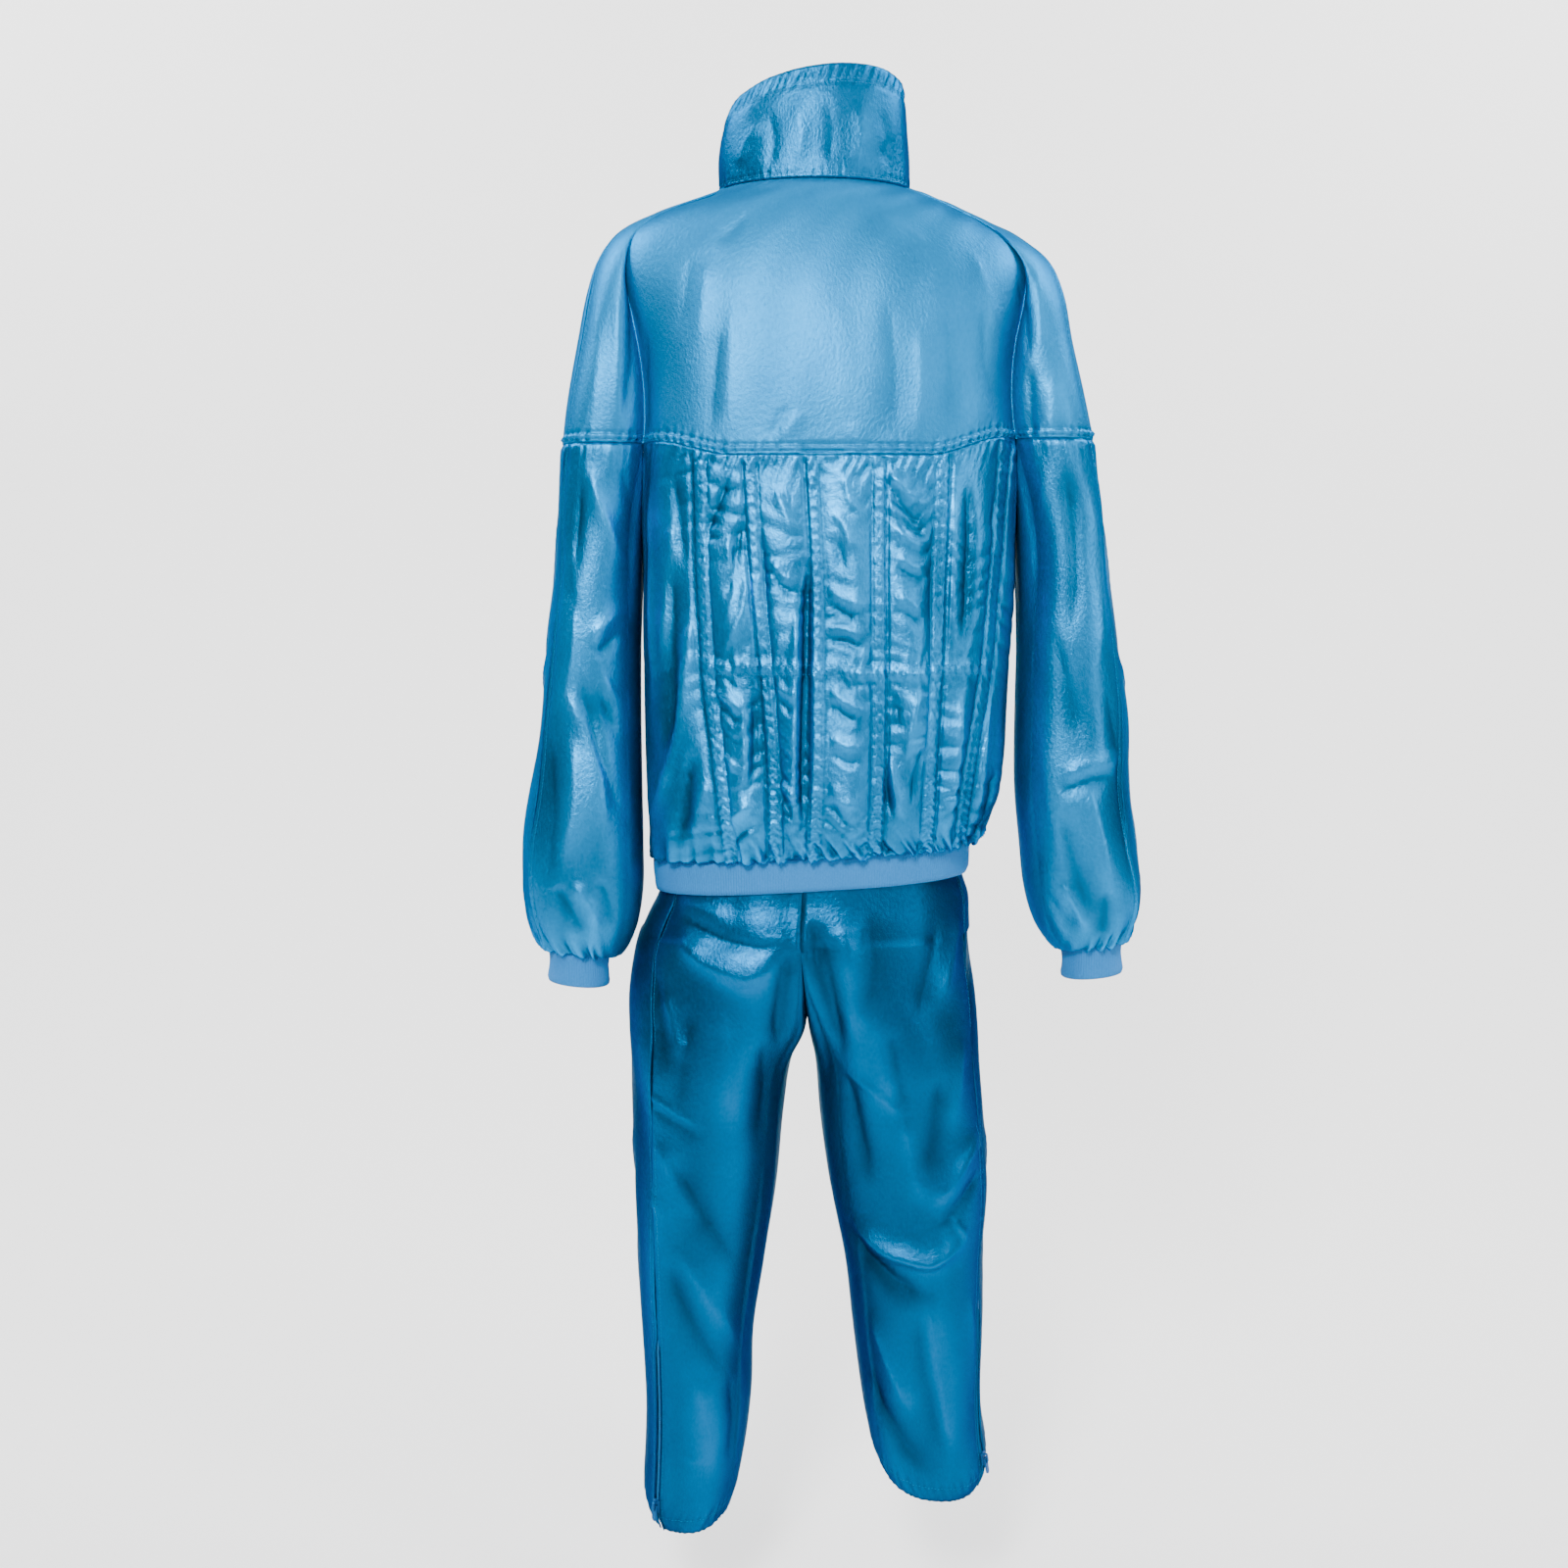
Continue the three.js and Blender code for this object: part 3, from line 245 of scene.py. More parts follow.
def facing(points, centre=None, closed=False):
    """The outward direction at each point of a grid of columns and rows."""
    one = points[1:, 1:] - points[:-1, :-1]
    two = points[:-1, 1:] - points[1:, :-1]
    cell = np.nan_to_num(unit(np.cross(one, two)))
    out = np.zeros_like(points)
    for i, j in ((0, 0), (1, 0), (0, 1), (1, 1)):
        out[i:out.shape[0] - 1 + i, j:out.shape[1] - 1 + j] += cell
    if closed:
        out[0] = out[-1] = out[0] + out[-1]
    out = unit(out)
    centre = np.nanmean(points, axis=(0, 1)) if centre is None else np.array(centre, float)
    lean = np.nansum(np.sign(np.sum(out * (points - centre), axis=-1)))
    return out if lean > 0 else -out


def uneven(s, wave, seed):
    """A wave from -1 to 1 whose spacing wanders, as gathers and puckers do."""
    start = np.random.RandomState(seed).uniform(0, 2 * np.pi, 3)
    t = 2 * np.pi * s / wave
    return np.sin(t + 1.3 * np.sin(t / 3.7 + start[0]) + 0.9 * np.sin(t / 7.3 + start[1]) + start[2])


def crumple(a, b, size, seed, long=1.0):
    """Soft unevenness, about -1 to 1, of one size across a and long times that along b."""
    random = np.random.RandomState(seed)
    total = np.zeros(np.shape(a))
    for _ in range(9):
        turn, wave, start = random.uniform(0, np.pi), random.uniform(0.7, 1.6), random.uniform(0, 6.3)
        total += np.sin(2 * np.pi * (a * np.cos(turn) + b * np.sin(turn) / long) / (size * wave) + start)
    return total / 3


# The level axis of a view, the axis that it looks along, and the side of it that is seen.
SEEN_FROM = {"back": (0, 1, 1), "front": (0, 1, -1), "left": (1, 0, 1), "right": (1, 0, -1)}
FOLD_STATIONS = 22
FOLD_REACH = 3.2
FOLD_SHAPE = 1.3


def lay(points, outward, seen, folds):
    """How far the listed folds lift the cloth or sink it (height below 0). A path is seen from one side,
    near and far are the fold's widths to either side of it, and it widens as it runs."""
    level, deep, sign = SEEN_FROM[seen]
    flat = points.reshape(-1, 3)
    normal = outward.reshape(-1, 3)
    faces = np.flatnonzero((normal[:, deep] * sign > 0.05) & ~np.isnan(flat[:, 0]))
    raised = np.zeros(len(flat))
    for height, near, far, path in folds:
        marks = np.array(path, float)
        reach = FOLD_REACH * max(near, far)
        lowest, highest = marks.min(0) - reach, marks.max(0) + reach
        spots = flat[faces][:, (level, 2)]
        some = faces[np.all((spots > lowest) & (spots < highest), axis=1)]
        if len(some) == 0:
            continue
        length = path_length(marks)
        line = stepped(marks, length, np.linspace(0, length[-1], FOLD_STATIONS))
        line[1:-1] = (line[:-2] + 2 * line[1:-1] + line[2:]) / 4
        spots = flat[some][:, (level, 2)]
        nearest = [some[np.argmin(np.sum((spots - spot) ** 2, axis=1))] for spot in line]
        route = np.empty((len(line), 3))
        route[:, level], route[:, 2], route[:, deep] = line[:, 0], line[:, 1], flat[nearest, deep]
        step = np.diff(route, axis=0)
        gap = flat[some][:, None] - route[:-1]
        t = np.clip(np.sum(gap * step, axis=-1) / np.maximum(np.sum(step * step, axis=-1), 1e-9), 0, 1)
        gap = gap - t[..., None] * step
        distance = np.linalg.norm(gap, axis=-1)
        best = np.argmin(distance, axis=1)
        pick = np.arange(len(some))
        share = (best + t[pick, best]) / len(step)
        beside = np.sum(np.cross(step[best], gap[pick, best]) * normal[some], axis=-1)
        width = np.where(beside > 0, near, far) * (0.75 + 0.5 * share)
        ends = smooth(0, 0.24, share) * (1 - smooth(0.68, 1, share))
        raised[some] += height * np.exp(-((distance[pick, best] / width) ** FOLD_SHAPE)) * ends
    return raised.reshape(points.shape[:2])


CLOTHS = {}
# The fold height, in millimetres, at which the painted shade in fold valleys and the painted highlight on
# ridges are full.
PAINTED_SHADING_FULL = 5.0
# For each side of a cell: the cell beside it, and the corners that the side runs between.
RIM_SIDES = (
    ((-1, 0), (0, 0), (0, 1)),
    ((1, 0), (1, 1), (1, 0)),
    ((0, -1), (1, 0), (0, 0)),
    ((0, 1), (0, 1), (1, 1)),
)


def wall(name, points, raised, thickness, finish, centre=None, closed=False):
    """A closed shell of cloth over a grid of outer points, raised where folds lift it, its free
    edges drawn back by half a seam's gap. Where a grid has no point there is no cloth."""
    across, down = points.shape[:2]
    outward = facing(points, centre, closed)
    full = ~np.isnan(points[..., 0])
    cells = full[1:, 1:] & full[:-1, 1:] & full[1:, :-1] & full[:-1, :-1]
    padded = np.pad(cells, 1)
    if closed:
        padded[0, 1:-1], padded[-1, 1:-1] = cells[-1], cells[0]
    corner = {(i, j): padded[i:across + i, j:down + j].astype(int) for i in (0, 1) for j in (0, 1)}
    free_sides = (
        corner[0, 0] + corner[0, 1] - corner[1, 0] - corner[1, 1],
        corner[0, 0] + corner[1, 0] - corner[0, 1] - corner[1, 1],
    )
    edge = points.copy()
    for axis, free in enumerate(free_sides):
        for sign in (1, -1):
            inwards = np.nan_to_num(unit(np.roll(points, sign, axis=axis) - points))
            edge += np.where((free * sign > 0)[..., None], inwards * SEAM_GAP / 2, 0)
    outer = edge + outward * raised[..., None]
    inner = outer - outward * thickness
    CLOTHS[name] = outer, outward
    number = np.full((across, down), -1)
    number[full] = np.arange(full.sum())
    count = int(full.sum())
    if closed:
        number[-1] = number[0]
    i, j = np.nonzero(cells)
    quads = np.stack([number[i, j], number[i + 1, j], number[i + 1, j + 1], number[i, j + 1]], axis=1)
    rims = []
    for beside, start, end in RIM_SIDES:
        rim = ~padded[i + 1 + beside[0], j + 1 + beside[1]]
        a, b = (number[i[rim] + step[0], j[rim] + step[1]] for step in (start, end))
        rims.append(np.stack([a, b, b + count, a + count], axis=1))
    faces = np.concatenate([quads, quads[:, ::-1] + count, *rims])
    u = np.repeat(np.nanmean(runs(points, 0), axis=1)[:, None], down, axis=1)
    uv = np.tile(np.stack([u, runs(points, 1)], axis=-1)[full], (2, 1)) / 1000
    one, two = outer[1:, 1:] - outer[:-1, :-1], outer[:-1, 1:] - outer[1:, :-1]
    lean = np.nansum(np.sum(np.cross(one, two) * outward[:-1, :-1], axis=-1))
    if lean > 0:
        faces = faces[:, ::-1]
    mesh = bpy.data.meshes.new(name)
    mesh.from_pydata((np.concatenate([outer[full], inner[full]]) / 1000).tolist(), [], faces.tolist())
    layer = mesh.uv_layers.new(name="cloth")
    layer.data.foreach_set("uv", uv[faces.ravel()].astype(np.float32).ravel())
    # The fold heights, kept on the mesh for the painted shade in the fold valleys and the painted
    # highlight on the ridges.
    painted_fold_shading = np.tile(np.clip(raised[full] / PAINTED_SHADING_FULL, -1, 1) * 0.5 + 0.5, 2)
    mesh.attributes.new("painted_fold_shading", "FLOAT", "POINT").data.foreach_set("value", painted_fold_shading.astype(np.float32))
    curved = np.arange(len(faces)) < 2 * len(quads)
    mesh.polygons.foreach_set("use_smooth", curved)
    mesh.materials.append(finish)
    mesh.update()
    mesh.validate()
    piece = bpy.data.objects.new(name, mesh)
    bpy.context.scene.collection.objects.link(piece)
    return piece


def new_finish(name, values):
    """A new material, its tree, and its shader with some values set."""
    finish = bpy.data.materials.new(name)
    finish.use_nodes = True
    shader = finish.node_tree.nodes["Principled BSDF"]
    for socket, value in values.items():
        shader.inputs[socket].default_value = value
    return finish, finish.node_tree, shader


def node(tree, kind, values=None, **settings):
    made = tree.nodes.new(kind)
    for setting, value in settings.items():
        setattr(made, setting, value)
    for socket, value in (values or {}).items():
        made.inputs[socket].default_value = value
    return made


def join(tree, *wires):
    for start, output, end, socket in wires:
        tree.links.new(start.outputs[output], end.inputs[socket])


def grain(tree, place, across, down, detail):
    """Noise that follows the cloth, with so many grains to the metre each way."""
    size = node(tree, "ShaderNodeMapping", {"Scale": (across, down, 1)})
    noise = node(tree, "ShaderNodeTexNoise", {"Scale": 1, "Detail": detail})
    join(tree, (place, "UV", size, "Vector"), (size, "Vector", noise, "Vector"))
    return noise


def two_tones(tree, dark, light):
    return node(tree, "ShaderNodeMix", {"A": (*dark, 1), "B": (*light, 1)}, data_type="RGBA")


def silk(name, dark, light, gloss=0.34, painted_valley_shade=0.38, metal=0.82):
    """Satin shell cloth: a fine close weave, softly streaked, with a broad silky shine. Its colour carries
    painted shade, darkest in the valleys of its folds, and a painted highlight, lightest on their ridges."""
    finish, tree, shader = new_finish(name, {
        "Metallic": metal, "Specular IOR Level": 0.0, "Specular Tint": (0.0, 0.20, 0.23, 1),
    })
    place = node(tree, "ShaderNodeUVMap", uv_map="cloth")
    weave, slub, cloud = (
        grain(tree, place, *numbers) for numbers in ((1100, 900, 2), (420, 250, 3), (18, 12, 4))
    )
    streak = node(tree, "ShaderNodeMath", {1: 0.45}, operation="MULTIPLY")
    blend = node(tree, "ShaderNodeMath", {1: 0.55}, operation="MULTIPLY_ADD")
    tone = two_tones(tree, dark, light)
    # Painted shade and painted highlight: the base colour is scaled down in the fold valleys and up on the
    # ridges, from the fold heights kept on the mesh.
    painted_fold_shading = node(tree, "ShaderNodeAttribute", attribute_name="painted_fold_shading")
    deep = node(tree, "ShaderNodeMapRange", {
        "From Min": 0.1, "From Max": 0.8, "To Min": painted_valley_shade, "To Max": 1.2,
    })
    shade = node(tree, "ShaderNodeVectorMath", operation="SCALE")
    rough = node(tree, "ShaderNodeMapRange", {"To Min": gloss - 0.05, "To Max": gloss + 0.07})
    fine = node(tree, "ShaderNodeBump", {"Strength": 0.45, "Distance": 0.0006})
    soft = node(tree, "ShaderNodeBump", {"Strength": 0.55, "Distance": 0.0009})
    join(
        tree,
        (slub, "Fac", streak, 0), (cloud, "Fac", blend, 0), (streak, "Value", blend, 2),
        (blend, "Value", tone, "Factor"), (tone, "Result", shade, 0),
        (painted_fold_shading, "Fac", deep, "Value"), (deep, "Result", shade, "Scale"),
        (shade, "Vector", shader, "Base Color"),
        (weave, "Fac", rough, "Value"), (rough, "Result", shader, "Roughness"),
        (weave, "Fac", fine, "Height"), (slub, "Fac", soft, "Height"),
        (fine, "Normal", soft, "Normal"), (soft, "Normal", shader, "Normal"),
    )
    return finish


def sewn_in(piece, solid):
    """The piece goes on the one body of cloth in place of its solid, which is hidden."""
    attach(piece, "suit")
    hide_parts(solid)


SHELL = 1.3
shell_blue = silk("shell_blue", (0.000, 0.085, 0.235), (0.000, 0.300, 0.680))
# Folds, listed one by one: height, width to the near and to the far side, and the path as (across, up).
BACK_FOLDS = [
    (2.2, 6, 5, [(151, -264), (152, -341), (150, -423), (153, -502)]),
    (-3.2, 9, 6, [(133, -328), (130, -413), (133, -495), (141, -561)]),
    (2.6, 8, 5, [(109, -373), (115, -431), (125, -500), (145, -571), (156, -613)]),
    (-2.4, 7, 4, [(110, -522), (120, -577), (126, -623)]),
    (1.8, 6, 6, [(97, -549), (107, -590), (115, -620)]),
    (-1.6, 5, 4, [(128, -270), (124, -323), (117, -364)]),
    (1.8, 7, 5, [(126, -287), (134, -377), (145, -459)]),
    (-2.2, 7, 4, [(78, -272), (84, -293), (97, -319), (102, -341)]),
    (1.6, 5, 5, [(79, -324), (73, -377), (82, -426)]),
    (-1.9, 5, 4, [(64, -306), (70, -342), (76, -377), (80, -400)]),
    (2.0, 7, 5, [(59, -359), (65, -399), (82, -438)]),
    (-2.4, 4, 5, [(49, -315), (46, -368), (45, -431), (43, -466), (41, -529)]),
    (-2.2, 5, 3, [(53, -465), (53, -511), (55, -547), (65, -574)]),
    (1.8, 5, 5, [(63, -466), (64, -502), (61, -547), (70, -567)]),
    (1.6, 5, 4, [(95, -467), (79, -477), (63, -490)]),
    (-1.4, 4, 3, [(97, -482), (81, -491), (66, -507)]),
    (2.0, 6, 4, [(83, -603), (70, -586), (54, -570)]),
    (-1.6, 5, 3, [(79, -620), (66, -602), (48, -591)]),
    (1.4, 4, 4, [(89, -526), (76, -534), (70, -547)]),
    (-1.3, 5, 3, [(39, -364), (27, -377), (13, -383)]),
    (1.3, 5, 4, [(39, -355), (27, -367), (14, -370)]),
    (-5.5, 5, 4, [(4, -342), (5, -395), (6, -457), (8, -520), (9, -616)]),
    (2.6, 5, 4, [(15, -377), (17, -448), (18, -529), (19, -610)]),
    (1.5, 5, 3, [(36, -466), (25, -472), (16, -480)]),
    (-1.3, 4, 3, [(36, -477), (26, -484), (18, -497)]),
    (1.4, 5, 4, [(33, -556), (24, -561), (16, -575)]),
    (-1.4, 4, 3, [(32, -567), (24, -576), (19, -590)]),
    (1.1, 5, 5, [(36, -284), (27, -306), (17, -331)]),
    (1.8, 5, 3, [(-11, -377), (-25, -388), (-45, -393), (-52, -390)]),
    (-1.6, 4, 3, [(-11, -388), (-25, -399), (-41, -406)]),
    (1.3, 4, 3, [(-13, -413), (-27, -413), (-48, -426)]),
    (-1.3, 4, 3, [(-14, -426), (-32, -426), (-48, -438)]),
    (1.7, 5, 3, [(-13, -466), (-25, -480), (-41, -488), (-52, -484)]),
    (-1.5, 4, 3, [(-15, -481), (-27, -493), (-40, -500)]),
    (1.4, 5, 3, [(-15, -513), (-29, -522), (-49, -522)]),
    (-1.4, 4, 3, [(-16, -527), (-29, -536), (-45, -538)]),
    (1.5, 5, 4, [(-15, -556), (-25, -572), (-42, -579)]),
    (-1.4, 4, 3, [(-15, -572), (-24, -588), (-34, -599)]),
    (1.3, 5, 4, [(-16, -306), (-29, -321), (-37, -347)]),
    (-1.2, 4, 3, [(-13, -328), (-23, -342), (-29, -364)]),
    (1.1, 4, 3, [(-28, -273), (-32, -297), (-45, -313)]),
    (-2.2, 5, 3, [(-64, -280), (-77, -297), (-89, -313), (-106, -324)]),
    (1.9, 6, 4, [(-68, -273), (-84, -290), (-102, -303)]),
    (-1.9, 4, 3, [(-75, -310), (-89, -324), (-108, -331)]),
    (1.7, 5, 3, [(-73, -320), (-88, -335), (-106, -342)]),
    (1.5, 5, 3, [(-77, -347), (-89, -358), (-106, -361)]),
    (-1.5, 4, 3, [(-75, -358), (-89, -367), (-104, -372)]),
    (1.3, 5, 3, [(-73, -384), (-88, -390), (-102, -402)]),
    (-1.3, 4, 3, [(-72, -397), (-86, -402), (-101, -415)]),
    (-2.6, 4, 4, [(-62, -525), (-63, -543), (-68, -567), (-73, -593)]),
    (2.0, 5, 4, [(-70, -529), (-74, -556), (-82, -591)]),
    (1.7, 6, 4, [(-97, -467), (-90, -502), (-85, -547)]),
    (-1.5, 5, 3, [(-103, -521), (-94, -547), (-91, -580)]),
    (-1.5, 5, 4, [(-68, -466), (-76, -484), (-77, -509)]),
    (-2.8, 4, 6, [(-116, -285), (-117, -342), (-115, -395), (-114, -442)]),
    (1.8, 8, 6, [(-128, -288), (-128, -359), (-127, -431)]),
    (-2.6, 7, 5, [(-141, -270), (-143, -332), (-142, -395), (-136, -445)]),
    (-2.0, 6, 5, [(-116, -467), (-114, -521), (-110, -585)]),
    (2.2, 8, 6, [(-138, -467), (-135, -531), (-128, -600)]),
    (-2.0, 6, 5, [(-152, -486), (-147, -550), (-139, -606)]),
    (2.0, 6, 5, [(-164, -459), (-161, -533), (-154, -608)]),
    (-1.8, 5, 4, [(-167, -287), (-168, -359), (-164, -432)]),
    (-2.0, 5, 5, [(-173, -543), (-167, -591), (-149, -628)]),
]


def billow(span, v):
    puff = PUFF * np.sin(np.pi * span) * smooth(0, 0.25, v) * (1 - smooth(0.86, 1, v))
    wave = np.cos(4 * np.pi * span) - 1
    return puff + GATHER_DEEP / 2 * wave * smooth(0.62, 0.88, v) * (1 - smooth(0.9, 1, v))


def outwards(points, axis_x, distance):
    """Moved off the body's upright axis, more to the back and front than to the sides."""
    away = unit(point(points[..., 0] - axis_x, points[..., 1] * 1.6, 0))
    return points + away * distance[..., None]


def armhole_columns(start, end, cells):
    return [(lambda v, a=a: np.full_like(v, a), 0.0) for a in np.linspace(start, end, cells + 1)]


def between(start, end, cells):
    return [(lambda v, t=k / cells: mix(start(v), end(v), t), k / cells) for k in range(1, cells)]


def tuck_edge(k, offset):
    return lambda v: angle_at_x(BODY, tuck_x(k, v) + offset, v)


back_columns = armhole_columns(0, ARMHOLE["left"], ARMHOLE_CELLS)
start = back_columns[-1][0]
for k in range(6):
    back_columns += between(start, tuck_edge(k, TUCK_HALF), PANEL_CELLS)
    steps = TUCK_HALF * (1 - np.arange(TUCK_CELLS + 1) / (TUCK_CELLS / 2))
    back_columns += [(tuck_edge(k, step), 0.0) for step in steps]
    start = tuck_edge(k, -TUCK_HALF)
under_arm = armhole_columns(ARMHOLE["right"], np.pi, ARMHOLE_CELLS)
back_columns += between(start, under_arm[0][0], PANEL_CELLS) + under_arm

rows = np.linspace(0, 1, BACK_ROWS)
back_v, back_points = [], []
for angle_at, span in back_columns:
    v = mix(armhole_drop(armhole_share(angle_at(np.zeros(1))[0])), 1, rows)
    places = body_point(angle_at(v), v)
    back_points.append(outwards(places, middle_x(BODY, v), billow(np.full_like(v, span), v)))
    back_v.append(v)
back_points, back_v = np.array(back_points), np.array(back_v)
back_out = facing(back_points)
back_down, back_up, back_across = lengths(back_points)


def shirring(points, v, down):
    """Bands of cloth drawn up by zigzag rows: each stands up, is puckered in slanting ribs, has
    its deeper pleat on the side away from the middle, and pulls drag lines into the cloth."""
    x, z = points[..., 0], points[..., 2]
    raised = np.zeros(x.shape)
    inside = (x < tuck_x(0, v)) & (x > tuck_x(5, v))
    for k in range(6):
        beside = x - tuck_x(k, v)
        off = np.abs(beside)
        band = np.clip(1 - (off / TUCK_HALF) ** 4, 0, 1)
        rib = uneven(z + 0.9 * off, 7.0, 20 + k) + 0.4 * uneven(z - 0.7 * off, 11.0, 40 + k)
        pleat = np.where(beside * (1 if k < 3 else -1) > 0, PLEAT["deep"], PLEAT["shallow"])
        raised += band * (TUCK_RAISE + TUCK_RIB * rib) - pleat * ridge(off, TUCK_HALF, PLEAT["wide"])
        for side, seed in ((1, 80), (-1, 100)):
            out = side * beside - TUCK_HALF
            reach = 13 + 9 * (0.5 + 0.5 * uneven(z, 41, seed + k))
            drag = np.where(out > 0, np.exp(-out / reach) * (1 - np.exp(-out / 1.5)), 0)
            slope = 0.5 + 0.35 * np.sin(z / 47 + seed + k)
            fade = 0.5 + 0.5 * np.sin(z / 29 + 2 * k + seed)
            dip = 0.5 - 0.5 * uneven(z + slope * out, 19, seed + 7 * k)
            raised += DRAG * fade * drag * (0.6 - 2.2 * dip ** 3)
    off = np.abs(z - MID_BAND_Z - 3 * np.sin(x / 40))
    band = np.clip(1 - (off / MID_BAND_HALF) ** 4, 0, 1) * inside
    raised += band * (MID_BAND_RAISE + MID_BAND_RIB * uneven(x + 0.8 * off, 8.2, 130))
    raised += inside * np.exp(-off / 13) * (1 - band) * 1.1 * uneven(x + 0.3 * off, 15, 131)
    return raised * smooth(2, 9, down)


def on_bands(points, v):
    """1 on the shirred bands, 0 between them."""
    off = np.min([np.abs(points[..., 0] - tuck_x(k, v)) for k in range(6)], axis=0)
    return 1 - smooth(TUCK_HALF - 1, TUCK_HALF + 2, off)


def gathered(across, up, seed):
    """Gathers where the cloth is drawn in to the hem rib."""
    line = across + 5 * np.sin(up / 17 + across / 60)
    gathers = uneven(line, 19, seed) + 0.5 * uneven(line, 9.5, seed + 1)
    return 2.1 * gathers * ridge(up, 11, 20) * smooth(0.5, 6, up)


calm_sides = smooth(6, 26, np.minimum(back_across, back_across[-1:] - back_across))
back_raised = shirring(back_points, back_v, back_down) * smooth(1, 7, back_up)
placed = lay(back_points, back_out, "back", BACK_FOLDS) * (1 - 0.75 * on_bands(back_points, back_v))
back_raised += 2.0 * placed * smooth(1, 10, back_up) * smooth(0, 6, back_down)
under_yoke = uneven(back_across + 0.3 * back_down, 10.5, 1) * np.exp(-back_down / 15)
back_raised += 1.3 * under_yoke * smooth(0, 2.5, back_down)
back_raised += gathered(back_across, back_up, 2)
ease = smooth(2, 12, back_up) * smooth(2, 12, back_down)
back_raised += 1.2 * crumple(back_across, back_down, 64, 4, 2.2) * ease
back_raised = np.clip(back_raised * np.maximum(calm_sides, 0.12), -6.5, 5.5)
back_panel = wall("back_panel", back_points, back_raised, SHELL, shell_blue)
sewn_in(back_panel, "back_body")

# Sleeves
# Each is two panels of the same shell cloth, joined by a raised overarm seam behind the arm and
# an underarm seam inside it. The yoke runs on into their tops, and their ends are gathered.
OVERARM = math.radians(40)
SLEEVE_NOTCH = math.radians(140)
CUFF_TILT = 0.1
SEAM_DIP = {"deep": 1.1, "wide": 1.8}
SIGN = {"left": 1, "right": -1}
SLEEVES = {
    "left": table("z left right y deep full drop", [
        (-242, 240, 160, 0, 74, 2.5, 0),
        (-300, 245, 166, 0, 73, 2.4, 0),
        (-365, 248, 166, 2, 71, 2.3, 0),
        (-430, 256, 166, 5, 69, 2.3, 0),
        (-500, 264, 166, 10, 67, 2.3, 0),
        (-570, 273, 165, 17, 65, 2.3, 0),
        (-625, 280, 164, 24, 62, 2.3, 0),
        (-668, 281, 164, 28, 57, 2.3, 0),
        (-700, 275, 170, 30, 50, 2.3, 2),
        (-720, 264, 184, 30, 41, 2.2, 6),
        (-726, 257, 197, 30, 34, 2.1, 0),
    ]),
    "right": table("z left right y deep full drop", [
        (-238, 270, 192, 0, 74, 2.5, 0),
        (-300, 279, 204, 1, 73, 2.4, 0),
        (-365, 286, 205, 3, 71, 2.3, 0),
        (-430, 297, 201, 6, 69, 2.3, 0),
        (-500, 307, 199, 9, 67, 2.3, 0),
        (-570, 310, 199, 12, 65, 2.3, 0),
        (-625, 317, 204, 14, 62, 2.3, 0),
        (-668, 324, 209, 15, 57, 2.3, 0),
        (-698, 321, 219, 15, 50, 2.3, 2),
        (-716, 312, 237, 15, 41, 2.2, 6),
        (-721, 306, 246, 15, 34, 2.1, 0),
    ]),
}


def sleeve_round(side, angle, v):
    rows = SLEEVES[side]
    x, y = section(rows, angle, v)
    droop = along(rows, "drop", v) * (1 - 0.45 * np.cos(angle))
    tilt = CUFF_TILT * (x - middle_x(rows, v)) * smooth(0.7, 1, v)
    return point(SIGN[side] * x, y + along(rows, "y", v), along(rows, "z", v) - droop + tilt)


def armhole_edge(side, angle):
    from_notch = np.clip((np.abs(angle) - SLEEVE_NOTCH) / (np.pi - SLEEVE_NOTCH), 0, 1)
    body_angle = mix(ARMHOLE[side], 0 if side == "left" else np.pi, from_notch)
    edge = body_point(np.sign(angle) * body_angle, armhole_drop(from_notch))
    edge[..., 0] += SIGN[side] * SEAM_GAP * 1.5
    return edge


def sleeve_top(angle):
    return armhole_drop((np.abs(angle) - SLEEVE_NOTCH) / (np.pi - SLEEVE_NOTCH))


def sleeve_point(side, angle, v):
    angle, v = np.broadcast_arrays(angle, v)
    notch = np.sign(angle) * np.maximum(np.abs(angle), SLEEVE_NOTCH)
    top = sleeve_top(notch)
    pull = armhole_edge(side, notch) - sleeve_round(side, notch, top)
    near = smooth(SLEEVE_NOTCH - math.radians(60), SLEEVE_NOTCH, np.abs(angle))
    fade = near * (1 - smooth(top, top + 0.2, v))
    return sleeve_round(side, angle, v) + pull * fade[..., None]


LEFT_ARM_FOLDS = [
    (4.6, 8, 9, [(209, -259), (199, -300), (181, -345), (159, -388)]),
    (-4.2, 6, 7, [(178, -263), (170, -304), (160, -352)]),
    (-3.6, 6, 8, [(215, -266), (220, -322), (225, -377), (215, -428)]),
    (3.2, 7, 7, [(228, -322), (221, -386), (225, -441), (238, -502)]),
    (4.2, 6, 6, [(211, -429), (193, -408), (174, -396), (154, -392)]),
    (-4.4, 5, 6, [(206, -443), (185, -423), (156, -412)]),
    (3.8, 7, 7, [(202, -452), (186, -480), (166, -508), (151, -539)]),
    (-3.6, 6, 6, [(200, -473), (190, -504), (166, -547)]),
    (3.4, 8, 9, [(239, -464), (214, -508), (198, -557), (193, -618)]),
    (-3.6, 6, 9, [(219, -455), (203, -525), (183, -583), (161, -626)]),
    (2.8, 10, 11, [(225, -515), (224, -581), (238, -646)]),
    (-2.6, 9, 9, [(249, -506), (244, -590), (251, -665)]),
    (2.6, 8, 8, [(173, -562), (170, -609), (180, -665)]),
    (-3.4, 6, 6, [(245, -656), (230, -680), (216, -705)]),
    (3.2, 6, 6, [(228, -652), (210, -677), (203, -703)]),
    (-3.2, 6, 6, [(202, -648), (191, -677), (188, -703)]),
]
